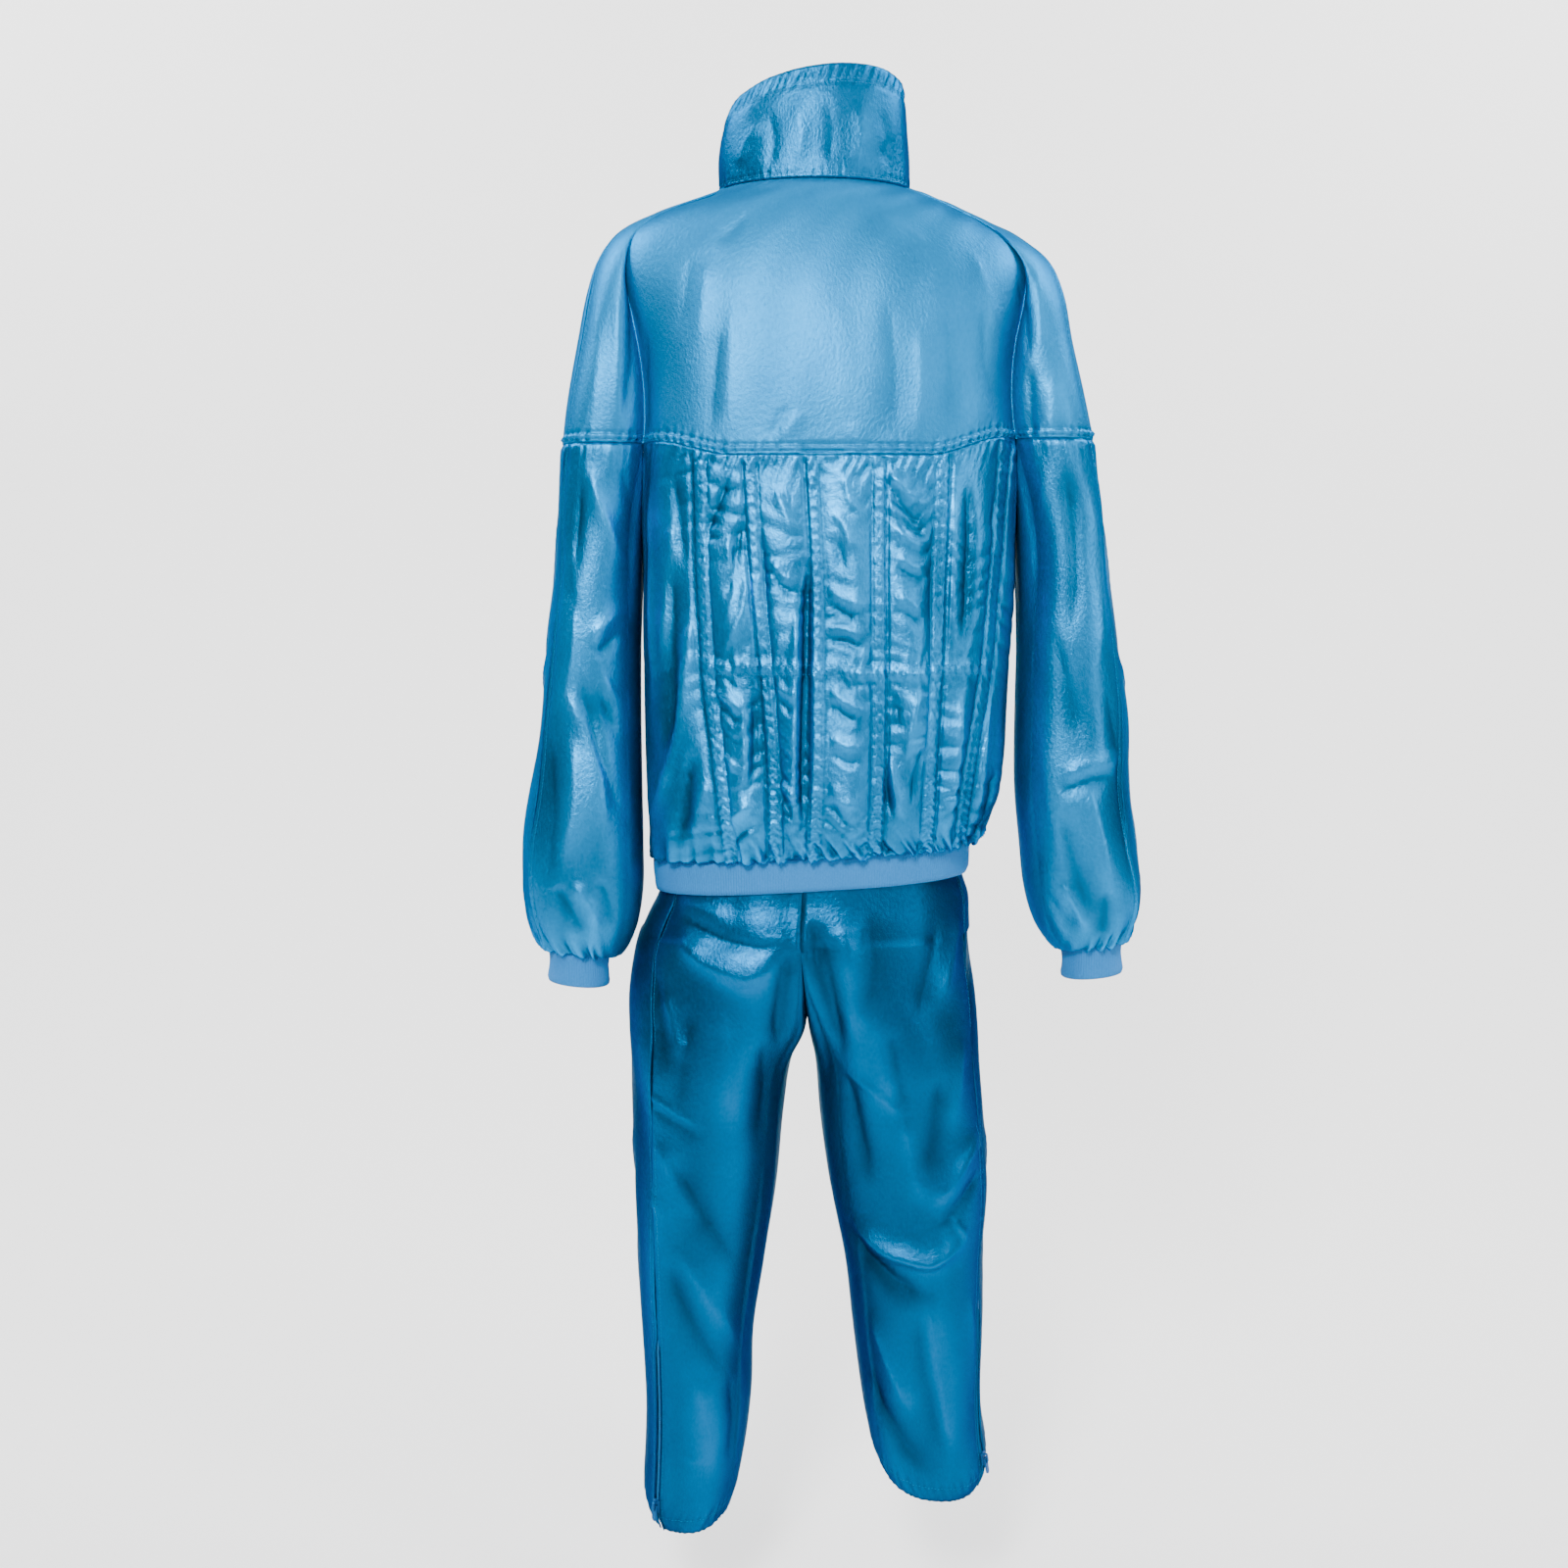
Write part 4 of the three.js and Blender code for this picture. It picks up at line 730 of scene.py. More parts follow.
RIGHT_ARM_FOLDS = [
    (3.8, 10, 11, [(-218, -255), (-212, -313), (-205, -377), (-215, -441)]),
    (-3.8, 9, 9, [(-235, -264), (-245, -322), (-248, -377), (-241, -432)]),
    (3.2, 10, 11, [(-255, -268), (-269, -341), (-272, -414), (-264, -483)]),
    (-2.8, 9, 10, [(-226, -414), (-240, -473), (-257, -534)]),
    (3.2, 7, 8, [(-233, -556), (-259, -544), (-281, -540), (-305, -530)]),
    (-3.4, 6, 8, [(-232, -569), (-261, -558), (-291, -555)]),
    (-3.2, 9, 10, [(-276, -460), (-293, -543), (-301, -618), (-307, -689)]),
    (3.0, 9, 10, [(-259, -557), (-277, -618), (-289, -684)]),
    (2.8, 10, 10, [(-216, -506), (-224, -581), (-246, -661)]),
    (-2.8, 9, 9, [(-237, -581), (-249, -637), (-265, -694)]),
    (-3.4, 6, 6, [(-220, -661), (-237, -686), (-252, -711)]),
    (3.2, 6, 6, [(-237, -656), (-254, -684), (-265, -709)]),
    (-3.0, 6, 6, [(-280, -661), (-282, -686), (-279, -711)]),
]
ARM_BACK = {"left": LEFT_ARM_FOLDS, "right": RIGHT_ARM_FOLDS}
# The side and the front of an arm, as seen from there; a right arm's are turned over.
ARM_SIDE = [
    (1.8, 6, 4, [(30, -300), (8, -360), (-18, -420)]),
    (-1.8, 6, 4, [(20, -290), (-4, -345), (-30, -392)]),
    (1.6, 7, 5, [(-20, -330), (-12, -410), (-16, -480)]),
    (-1.7, 5, 4, [(38, -420), (16, -446), (-12, -462)]),
    (1.9, 5, 4, [(42, -440), (18, -468), (-14, -480)]),
    (-1.6, 6, 5, [(46, -500), (26, -560), (20, -620)]),
    (1.7, 7, 6, [(4, -520), (14, -590), (26, -650)]),
    (1.8, 5, 4, [(2, -640), (10, -680), (20, -712)]),
    (-1.8, 5, 4, [(30, -650), (34, -685), (36, -714)]),
    (1.6, 5, 4, [(52, -640), (50, -680), (46, -712)]),
    (-1.5, 8, 6, [(-34, -470), (-28, -540), (-14, -600)]),
]
ARM_FRONT = [
    (2.0, 6, 5, [(176, -300), (200, -350), (232, -396)]),
    (-2.0, 5, 4, [(180, -326), (204, -370), (228, -410)]),
    (1.8, 6, 4, [(174, -372), (196, -402), (222, -424)]),
    (-1.9, 5, 4, [(250, -420), (222, -446), (190, -452)]),
    (2.1, 5, 4, [(254, -440), (226, -462), (188, -470)]),
    (1.6, 5, 4, [(180, -490), (206, -484), (236, -496)]),
    (-1.7, 6, 5, [(196, -512), (206, -560), (204, -612)]),
    (1.8, 7, 6, [(222, -520), (232, -580), (234, -636)]),
    (-1.6, 6, 5, [(250, -560), (256, -610), (252, -660)]),
    (1.7, 5, 4, [(196, -650), (208, -684), (218, -712)]),
    (-1.8, 5, 4, [(214, -648), (222, -684), (228, -714)]),
    (1.8, 5, 4, [(246, -640), (244, -680), (238, -712)]),
    (-1.5, 8, 7, [(212, -270), (214, -320), (206, -372)]),
]


def turned_over(rows, shift):
    return [(h, far, near, [(-a - shift, z) for a, z in path]) for h, near, far, path in rows]


def piping(across):
    """The overarm seam, which stands up along a panel's edge, and the dip of its stitches."""
    return 0.9 * ridge(across, 2.2, 1.5) - 0.5 * ridge(across, 5.5, 1.6)


ARM_COLUMNS = {"back": 47, "front": 63}
ARM_ROWS = {"back": 164, "front": 136}
for side in ("left", "right"):
    for face, inner in (("back", 1), ("front", -1)):
        seam_to_notch = np.linspace(OVERARM, inner * SLEEVE_NOTCH, ARM_COLUMNS[face])
        under = np.linspace(inner * SLEEVE_NOTCH, inner * np.pi, 15)[1:]
        angles = np.concatenate([seam_to_notch, under])
        v = mix(sleeve_top(angles)[:, None], 1, np.linspace(0, 1, ARM_ROWS[face]))
        points = sleeve_point(side, angles[:, None], v)
        out = facing(points)
        down, up, across = lengths(points)
        raised = lay(points, out, "back", ARM_BACK[side])
        if face == "front":
            front = ARM_FRONT if side == "left" else turned_over(ARM_FRONT, 40)
            raised += 1.5 * lay(points, out, "front", front)
        raised += 0.9 * lay(points, out, side, ARM_SIDE)
        seed = 200 + 20 * (side == "left") + 5 * (face == "back")
        raised += uneven(across, 11, seed) * np.exp(-down / 13) * smooth(0, 3, down)
        raised -= SEAM_DIP["deep"] * ridge(down, 0, SEAM_DIP["wide"])
        # Gathers where the sleeve is drawn in to its cuff, and a wider swell above them.
        wander = across + 6 * np.sin(up / 21 + across / 40)
        gathers = uneven(wander, 15, seed + 1) + 0.5 * uneven(wander, 8.5, seed + 2)
        raised += 2.3 * gathers * ridge(up, 6, 14) * smooth(0, 4, up)
        raised += 0.9 * uneven(wander, 24, seed + 3) * ridge(up, 30, 26)
        ease = smooth(0, 12, down) * smooth(2, 20, up)
        raised += 1.1 * crumple(across, down, 70, seed + 4, 2.0) * ease
        raised += piping(across) if face == "back" else 0.35 * ridge(across, 0, 1.6)
        far_in = smooth(math.radians(100), math.radians(138), np.abs(angles))[:, None]
        raised = np.clip(raised * mix(1, 0.15, far_in), -9, 7)
        sleeve = wall(f"sleeve_{face}_{side}_cloth", points, raised, SHELL, shell_blue)
        sewn_in(sleeve, f"sleeve_{face}_{side}")

# Yokes
# One back yoke across both shoulders and down to the tops of the sleeves, and a front yoke on
# either side of the zip. The cloth is the same, and catches most of the light.
YOKE = table("side mid left right back front full", [
    (-2, 0, 88, -93, 61, 68, 2.0),
    (-8, -8, 101, -112, 70, 78, 2.0),
    (-24, -30, 151, -152, 84, 92, 2.05),
    (-42, -62, 186, -192, 96, 102, 2.15),
    (-66, -98, 204, -224, 105, 108, 2.3),
    (-100, -136, 215, -240, 110, 112, 2.45),
    (-146, -178, 224, -249, 114, 114, 2.5),
    (-194, -218, 233, -260, 116, 115, 2.5),
    (-241, -256, 240, -270, 117, 115, 2.5),
])
FRONT_GAP = 4.6
YOKE_CENTRE = (0, 0, -330)
YOKE_STITCHES = (3.2, 8.6)
yoke_blue = silk("yoke_blue", (0.000, 0.115, 0.300), (0.000, 0.250, 0.560), 0.41, 0.5, 0.7)


def yoke_round(angle, v):
    x, y = section(YOKE, angle, v)
    to_middle = np.abs(np.sin(angle)) ** 1.5
    return point(x, y, mix(along(YOKE, "side", v), along(YOKE, "mid", v), to_middle))


def yoke_angle(points):
    half = (along(YOKE, "left", 1) - along(YOKE, "right", 1)) / 2
    power = along(YOKE, "full", 1) / 2
    depth = np.where(points[..., 1] > 0, along(YOKE, "back", 1), along(YOKE, "front", 1))
    level = signed_power((points[..., 0] - middle_x(YOKE, 1)) / half, power)
    return np.arctan2(signed_power(points[..., 1] / depth, power), level)


def yoke_points(loop, neck_from, neck_to, v):
    """One column for each point of the seam loop that the yoke ends at, from the neck down."""
    angles = yoke_angle(loop)
    angles = np.where(angles < min(neck_from, neck_to) - np.pi / 4, angles + 2 * np.pi, angles)
    share = (angles - angles[0]) / (angles[-1] - angles[0])
    pull = loop - yoke_round(angles, 1)
    fan = mix(mix(neck_from, neck_to, share)[:, None], angles[:, None], smooth(0, 0.9, v))
    return yoke_round(fan, v[None]) + pull[:, None] * smooth(0.3, 1, v)[None, :, None]


YOKE_FOLDS = [
    (-2.4, 6, 7, [(169, -104), (167, -168), (177, -233)]),
    (1.6, 7, 6, [(181, -98), (180, -169), (180, -241)]),
    (-1.3, 5, 5, [(155, -133), (155, -186), (154, -242)]),
    (1.2, 8, 8, [(200, -104), (201, -169), (203, -232)]),
    (-1.4, 8, 9, [(111, -72), (116, -110), (124, -150)]),
    (1.5, 9, 9, [(96, -76), (102, -129), (105, -164)]),
    (-1.8, 7, 8, [(85, -138), (90, -191), (95, -246)]),
    (1.4, 9, 8, [(73, -111), (76, -174), (78, -244)]),
    (1.6, 6, 4, [(13, -216), (23, -230), (31, -244)]),
    (-1.2, 5, 4, [(21, -211), (30, -227), (39, -243)]),
    (1.2, 6, 5, [(-36, -227), (-39, -241), (-44, -251)]),
    (1.2, 9, 9, [(-22, -112), (-27, -174), (-20, -236)]),
    (-1.2, 8, 8, [(-67, -112), (-73, -174), (-76, -244)]),
    (1.4, 8, 7, [(-96, -138), (-98, -196), (-94, -249)]),
    (-1.2, 7, 7, [(-120, -120), (-123, -182), (-121, -244)]),
    (-2.0, 5, 4, [(-192, -88), (-198, -123), (-199, -171)]),
    (1.6, 6, 4, [(-207, -77), (-210, -115), (-211, -167)]),
    (-2.2, 6, 5, [(-201, -169), (-203, -205), (-204, -251)]),
    (1.8, 6, 6, [(-223, -178), (-221, -214), (-220, -252)]),
    (-1.2, 7, 7, [(-156, -109), (-157, -172), (-173, -230)]),
    (1.3, 8, 7, [(-145, -63), (-157, -100), (-172, -152)]),
    (-1.2, 5, 5, [(58, -33), (71, -49), (91, -65)]),
    (1.1, 6, 6, [(-63, -33), (-85, -52), (-112, -67)]),
]
YOKE_FRONT_FOLDS = [
    (1.4, 8, 7, [(60, -60), (110, -95), (160, -128)]),
    (-1.3, 7, 6, [(50, -80), (96, -120), (140, -160)]),
    (-1.6, 6, 6, [(152, -130), (156, -190), (158, -246)]),
    (1.5, 7, 6, [(136, -140), (138, -190), (140, -244)]),
    (1.2, 9, 8, [(90, -150), (88, -200), (92, -250)]),
    (-1.2, 8, 8, [(60, -150), (58, -200), (62, -252)]),
    (1.3, 7, 6, [(196, -110), (204, -170), (212, -232)]),
    (-1.2, 6, 5, [(180, -110), (184, -170), (188, -236)]),
]
# Rows of points, closer together towards the seam, where the cloth puckers.
rows = 1 - np.linspace(1, 0, 88) ** 1.5
front_rows = 1 - np.linspace(1, 0, 70) ** 1.5
arm_angles = np.linspace(OVERARM, SLEEVE_NOTCH, 30)[:-1]
arms = {side: sleeve_point(side, arm_angles, 0.0) for side in ("left", "right")}
across_back = body_point(np.linspace(ARMHOLE["left"], ARMHOLE["right"], 150), 0.0)
back_loop = np.concatenate([arms["left"], across_back, arms["right"][::-1]])
back_notches = (len(arm_angles), len(back_loop) - len(arm_angles) - 1)
front_arm = np.linspace(OVERARM, -SLEEVE_NOTCH, 40)[:-1]
yokes = [("back_yoke", yoke_points(back_loop, 0, np.pi, rows), "back", YOKE_FOLDS, back_notches)]
for side, neck_to in (("left", -np.pi / 2), ("right", 3 * np.pi / 2)):
    chest = body_point(np.linspace(-ARMHOLE[side], -np.pi / 2, 44), 0.0)
    loop = np.concatenate([sleeve_point(side, front_arm, 0.0), chest])
    points = yoke_points(loop, 0 if side == "left" else np.pi, neck_to, front_rows)
    points[-1, :, 0] = middle_x(YOKE, front_rows) + SIGN[side] * FRONT_GAP
    front_folds = YOKE_FRONT_FOLDS if side == "left" else turned_over(YOKE_FRONT_FOLDS, 24)
    yokes.append((f"front_yoke_{side}", points, "front", front_folds, (len(front_arm),)))

for k, (label, points, seen, placed, notches) in enumerate(yokes):
    out = facing(points, YOKE_CENTRE)
    down, up, across = lengths(points)
    raised = 1.1 * lay(points, out, seen, placed) * smooth(0, 10, up)
    raised += 1.7 * uneven(across, 8.8, 300 + k) * ridge(up, 5, 6.5) * smooth(0, 2.5, up)
    for stitched in YOKE_STITCHES:
        raised -= 1.5 * ridge(up, stitched, 1.2)
    raised += 1.3 * ridge(up, 5.9, 2.0)
    raised -= SEAM_DIP["deep"] * ridge(up, 0, SEAM_DIP["wide"])
    raised += 0.45 * uneven(across, 7.5, 310 + k) * np.exp(-down / 8) * smooth(0, 2.5, down)
    raised += 0.6 * crumple(across, down, 74, 320 + k, 2.4) * smooth(4, 26, up) * smooth(3, 20, down)
    to_last = across[-1:] - across
    if seen == "back":
        raised += piping(np.minimum(across, to_last))
    else:
        raised *= smooth(0, 14, to_last)
    from_notch = np.min([np.abs(across - across[notch:notch + 1]) for notch in notches], axis=0)
    raised = np.clip(raised, -3.5, 3.0) * smooth(0, 9, from_notch)
    yoke = wall(f"{label}_cloth", points, raised, SHELL, yoke_blue, centre=YOKE_CENTRE)
    sewn_in(yoke, label)

# Fronts
# Plain panels from the front yokes to the hem rib on either side of the zip, cut a little full
# and gathered onto the rib as the back is.
FRONT_BILLOW = 0.7
FRONT_FOLDS = [
    (1.9, 7, 6, [(140, -275), (132, -350), (138, -430)]),
    (-2.0, 6, 5, [(126, -270), (116, -340), (120, -410)]),
    (1.7, 8, 6, [(104, -290), (100, -370), (106, -450)]),
    (-1.6, 7, 6, [(84, -300), (86, -390), (80, -470)]),
    (1.8, 8, 7, [(62, -330), (66, -430), (60, -520)]),
    (-1.6, 7, 6, [(44, -300), (42, -380), (46, -460)]),
    (2.0, 7, 6, [(130, -480), (138, -550), (146, -606)]),
    (-2.0, 6, 5, [(116, -500), (122, -560), (128, -614)]),
    (1.8, 6, 5, [(96, -520), (100, -575), (104, -616)]),
    (-1.8, 6, 5, [(78, -530), (80, -580), (84, -618)]),
    (1.8, 6, 5, [(52, -540), (54, -585), (58, -618)]),
    (-1.5, 5, 5, [(34, -540), (34, -585), (36, -618)]),
    (1.5, 5, 4, [(28, -290), (44, -318), (64, -332)]),
    (-1.4, 5, 4, [(30, -306), (48, -334), (66, -346)]),
]
FRONT_ZIP_STITCHES = 7
rows = np.linspace(0, 1, 112)
for side in ("left", "right"):
    under = np.linspace(0 if side == "left" else -np.pi, -ARMHOLE[side], 13)
    share = np.linspace(0, 1, 66)[1:]
    angles = np.concatenate([under, mix(-ARMHOLE[side], -np.pi / 2, share)])
    share = np.concatenate([np.zeros(len(under)), share])
    v = mix(armhole_drop(armhole_share(angles))[:, None], 1, rows)
    points = body_point(angles[:, None], v)
    points[-1, :, 0] = middle_x(BODY, v[-1]) + SIGN[side] * FRONT_GAP
    calm = FRONT_BILLOW * (1 - smooth(0.8, 1, share))[:, None]
    points = outwards(points, middle_x(BODY, v), calm * billow((share[:, None] * 2) % 1, v))
    out = facing(points)
    down, up, across = lengths(points)
    to_zip = across[-1:] - across
    placed = FRONT_FOLDS if side == "left" else turned_over(FRONT_FOLDS, 30)
    seed = 400 + 20 * (side == "left")
    raised = 1.5 * lay(points, out, "front", placed) * smooth(1, 10, up) * smooth(0, 8, down)
    raised += 0.55 * uneven(across, 6.4, seed) * np.exp(-down / 9) * smooth(0, 2.5, down)
    raised += gathered(across, up, seed + 1)
    raised += 0.45 * crumple(across, down, 44, seed + 3, 2.2) * smooth(2, 12, up) * smooth(2, 12, down)
    raised *= smooth(2, 16, to_zip) * mix(0.12, 1, smooth(10, 38, across))
    raised -= 0.5 * ridge(to_zip, FRONT_ZIP_STITCHES, 0.9)
    front = wall(f"front_body_{side}_cloth", points, np.clip(raised, -4.5, 4.5), SHELL, shell_blue)
    sewn_in(front, f"front_body_{side}")

# Collar
# A tall doubled funnel of the shell cloth, open at the zip, with a stitched casing round its
# rim that puckers it and a row of stitching above the neck seam.
COLLAR = table("left right back front", [
    (88, -93, 61, 68),
    (89, -93, 60, 67),
    (88.5, -92, 59, 65),
    (86, -90, 57, 62),
    (80, -86, 53, 57),
])
COLLAR_RIM = {"mean": 80, "back": 23.5, "left": -12}
COLLAR_SEAT = 0.3
DOUBLE = 2.2
RIM_STITCHES = (14.5, 18.0)
NECK_STITCHES = 4.5
COLLAR_FOLDS = [
    (1.6, 8, 6, [(70, 14), (62, 36), (46, 58)]),
    (-1.4, 7, 6, [(40, 8), (36, 34), (40, 66)]),
    (1.3, 7, 7, [(14, 10), (10, 40), (16, 74)]),
    (-1.2, 6, 6, [(-14, 12), (-18, 44), (-12, 76)]),
    (1.4, 7, 6, [(-40, 10), (-46, 40), (-42, 72)]),
    (-1.3, 6, 5, [(-66, 12), (-70, 40), (-64, 70)]),
]


def collar_point(angle, v):
    x, y = section(COLLAR, angle, v, 2)
    seam = mix(YOKE["side"][0], YOKE["mid"][0], np.abs(np.sin(angle)) ** 1.5)
    rim = COLLAR_RIM["mean"] + COLLAR_RIM["back"] * np.sin(angle) + COLLAR_RIM["left"] * np.cos(angle)
    return point(x, y, mix(seam + COLLAR_SEAT, rim, v))


def open_ring(rows, point_at, columns, v):
    """A ring round the neck or the hem, open at the zip."""
    angles = np.linspace(-np.pi / 2, 3 * np.pi / 2, columns)
    points = point_at(angles[:, None], v[None])
    points[0, :, 0] = middle_x(rows, v) + FRONT_GAP
    points[-1, :, 0] = middle_x(rows, v) - FRONT_GAP
    return points


collar_points = open_ring(COLLAR, collar_point, 270, np.linspace(0, 1, 42))
out = facing(collar_points)
down, up, across = lengths(collar_points)
to_zip = np.minimum(across, across[-1:] - across)
raised = 1.1 * lay(collar_points, out, "back", COLLAR_FOLDS)
raised += lay(collar_points, out, "front", turned_over(COLLAR_FOLDS, 6))
raised += uneven(across, 8.5, 500) * ridge(up, 9, 7)
raised += 0.5 * uneven(across, 6.5, 501) * ridge(down, 5, 6) * smooth(0, 3, down)
raised += 0.4 * crumple(across, down, 40, 502, 1.5)
for stitched in RIM_STITCHES:
    raised -= 0.5 * ridge(up, stitched, 0.9)
raised -= 0.5 * ridge(down, NECK_STITCHES, 0.9)
raised = np.clip(raised * smooth(3, 18, to_zip), -2.0, 2.6)
# The collar's copy of the shell cloth is darker than the shell's own: painted shade for the upright
# collar, which catches less light than the yoke.
collar_painted_shade_blue = silk("collar_painted_shade_blue", (0.000, 0.055, 0.160), (0.000, 0.190, 0.440))
collar = wall("collar_cloth", collar_points, raised, DOUBLE, collar_painted_shade_blue)
sewn_in(collar, "collar")

# Hem rib and cuffs
# Matte rib knit in a flatter, lighter blue. The fine ribs run up and down, and the bands are
# cut shorter than what they hold, so they pull it in.
KNIT = 2.4
CUFF_LONG = 33
CUFF_SEAT = 0.12
RIB_PITCH = 2.5
RIB_RAISE = 0.55
CUFF_COLUMNS = 325
CUFF_ROWS = 10
HEM_RIB = table("z left right back front full", [
    (-626.1, 155, -155, 109, 109, 2.6),
    (-643, 154, -154, 108, 108, 2.6),
    (-660, 153, -153, 107, 107, 2.6),
])


def rib_knit(name, dark, light):
    """Matte knit, its loops a fine grain in two close tones."""
    finish, tree, shader = new_finish(name, {"Roughness": 0.88})
    place = node(tree, "ShaderNodeUVMap", uv_map="cloth")
    loops, tone = grain(tree, place, 800, 420, 3), two_tones(tree, dark, light)
    bump = node(tree, "ShaderNodeBump", {"Strength": 0.5, "Distance": 0.0005})
    join(
        tree,
        (loops, "Fac", tone, "Factor"), (tone, "Result", shader, "Base Color"),
        (loops, "Fac", bump, "Height"), (bump, "Normal", shader, "Normal"),
    )
    return finish


def hem_rib_point(angle, v):
    x, y = section(HEM_RIB, angle, v)
    return point(x, y, along(HEM_RIB, "z", v) - HEM_TILT * x)


def cuff_point(side, angle, v):
    top = sleeve_point(side, angle, 1.0)
    rows = SLEEVES[side]
    axis = point(SIGN[side] * middle_x(rows, 1), along(rows, "y", 1), top[..., 2])
    places = mix(top, axis, (0.05 * np.sin(v * np.pi))[..., None])
    places[..., 2] -= CUFF_LONG * v + CUFF_SEAT
    return places


def ribbed(points):
    """Ribs along the band, softened to a rolled edge at its free end."""
    down, up, across = lengths(points)
    across = across / across[-1:] * np.round(across[-1:].mean() / RIB_PITCH) * RIB_PITCH
    ribs = 0.5 + 0.5 * np.cos(2 * np.pi * across / RIB_PITCH)
    band = RIB_RAISE * ribs ** 0.7 * smooth(0, 2.5, down) * mix(0.5, 1, smooth(0.5, 4, up))
    rolled = band - 1.1 * (1 - smooth(0, 2.6, up))
    return rolled + 0.5 * crumple(across, down, 60, 520, 0.6) * smooth(0, 8, down)


knit_blue = rib_knit("knit_blue", (0.000, 0.110, 0.330), (0.000, 0.180, 0.480))
rib_points = open_ring(HEM_RIB, hem_rib_point, 1330, np.linspace(0, 1, 8))
hem_rib = wall("hem_rib_knit", rib_points, ribbed(rib_points), KNIT, knit_blue)
sewn_in(hem_rib, "hem_rib")
for side in ("left", "right"):
    angles = np.linspace(-np.pi, np.pi, CUFF_COLUMNS)[:, None]
    v = np.broadcast_to(np.linspace(0, 1, CUFF_ROWS), (CUFF_COLUMNS, CUFF_ROWS))
    points = cuff_point(side, angles, v)
    raised = ribbed(points)
    raised[-1] = raised[0]
    cuff = wall(f"cuff_{side}_knit", points, raised, KNIT, knit_blue, closed=True)
    sewn_in(cuff, f"cuff_{side}")

# Trousers
# Straight legs of the shell cloth, a back and a front panel each, joined by side and inner leg
# seams and a seat seam, and hung from a doubled waistband under the jacket.
SIDE_SEAM = {"left": math.radians(50), "right": math.radians(28)}
CENTRE_SEAM = math.radians(138)
SEAT_FULL = 2.4
WAISTBAND_TALL = 34
SEAT_SEAM_END = -712
FORK = {"x": 3.5, "z": -797}
LEG_FLOW_END = -850
ANKLE_GAP = 3.4
ANKLE_ZIP = {"top": 0.675, "open": 0.7, "end": 0.98}
HEM_SLANT = {"left": {"back": 14, "outer": 7}, "right": {"back": 27, "outer": 11}}
SEAT = table("z left right back front seam", [
    (-482, 138, -136, 92, 94, 6),
    (-560, 143, -142, 98, 97, 7),
    (-630, 146.5, -146.5, 102, 99, 8),
    (-653, 148, -148, 103, 100, 9),
    (-674, 150, -154, 104.5, 100.5, 10),
    (-694, 160, -155, 109, 101, 11),
    (-718, 170, -156, 112, 101, 11),
    (-742, 175, -157, 113, 100, 11),
    (-768, 178, -160, 112, 98, 8),
    (-800, 179, -163, 109, 95, 4),
])
LEGS = {
    "left": table("z left right y deep full", [
        (-700, 166, 3, 7, 105, 2.3),
        (-765, 178, 3, 7, 104, 2.3),
        (-800, 179, 4, 7, 101, 2.3),
        (-840, 179, 20, 7, 98, 2.25),
        (-890, 178, 27, 7, 94, 2.2),
        (-965, 176, 34, 8, 90, 2.2),
        (-1040, 172, 46, 10, 85, 2.2),
        (-1110, 168, 57, 12, 81, 2.2),
        (-1175, 166, 59, 14, 78, 2.2),
        (-1225, 166.5, 64, 17, 74, 2.2),
        (-1264, 167, 71, 20, 67, 2.2),
        (-1286, 160, 78, 22, 57, 2.2),
    ]),
    "right": table("z left right y deep full", [
        (-700, 154, 0, 7, 105, 2.3),
        (-765, 160, 0, 7, 104, 2.3),
        (-800, 163, 2, 7, 101, 2.3),
        (-840, 166, 7, 7, 97, 2.25),
        (-890, 171, 9, 7, 93, 2.2),
        (-965, 176, 19, 8, 89, 2.2),
        (-1040, 172, 34, 10, 85, 2.2),
        (-1110, 172, 42, 12, 81, 2.2),
        (-1160, 171, 48, 14, 78, 2.2),
        (-1197, 173, 53, 16, 74, 2.2),
        (-1224, 177, 58, 18, 69, 2.2),
        (-1240, 172, 64, 20, 61, 2.2),
    ]),
}


def seat_point(side, angle, v):
    turn = np.clip(angle / CENTRE_SEAM * np.pi / 2, -np.pi / 2, np.pi / 2)
    seam = SIGN[side] * along(SEAT, "seam", v)
    outer = SIGN[side] * along(SEAT, side, v)
    x = seam + (outer - seam) * signed_power(np.cos(turn), 2 / SEAT_FULL)
    depth = np.where(turn > 0, along(SEAT, "back", v), along(SEAT, "front", v))
    y = depth * signed_power(np.sin(turn), 2 / SEAT_FULL)
    return point(SIGN[side] * x, y, along(SEAT, "z", v))


def leg_point(side, angle, v):
    rows = LEGS[side]
    x, y = section(rows, angle, v)
    slant = HEM_SLANT[side]["back"] * np.sin(angle) + HEM_SLANT[side]["outer"] * np.cos(angle)
    z = along(rows, "z", v) - slant * smooth(0.55, 1, v)
    return point(SIGN[side] * x, y + along(rows, "y", v), z)


def trouser_point(side, angle, height):
    angle, height = np.broadcast_arrays(angle, height)
    to_leg = 1 - smooth(LEG_FLOW_END, SEAT_SEAM_END, height)
    seat_v, leg_v = height_to_share(SEAT, height), height_to_share(LEGS[side], height)
    corner = np.sign(angle) * np.minimum(np.abs(angle), CENTRE_SEAM)
    pull = seat_point(side, corner, seat_v) - leg_point(side, corner, leg_v)
    past = np.clip((np.abs(angle) - CENTRE_SEAM) / (np.pi - CENTRE_SEAM), 0, 1)
    blended = leg_point(side, angle, leg_v) + pull * ((1 - to_leg) * (1 - past) ** 2)[..., None]
    return np.where((to_leg == 0)[..., None], seat_point(side, angle, seat_v), blended)


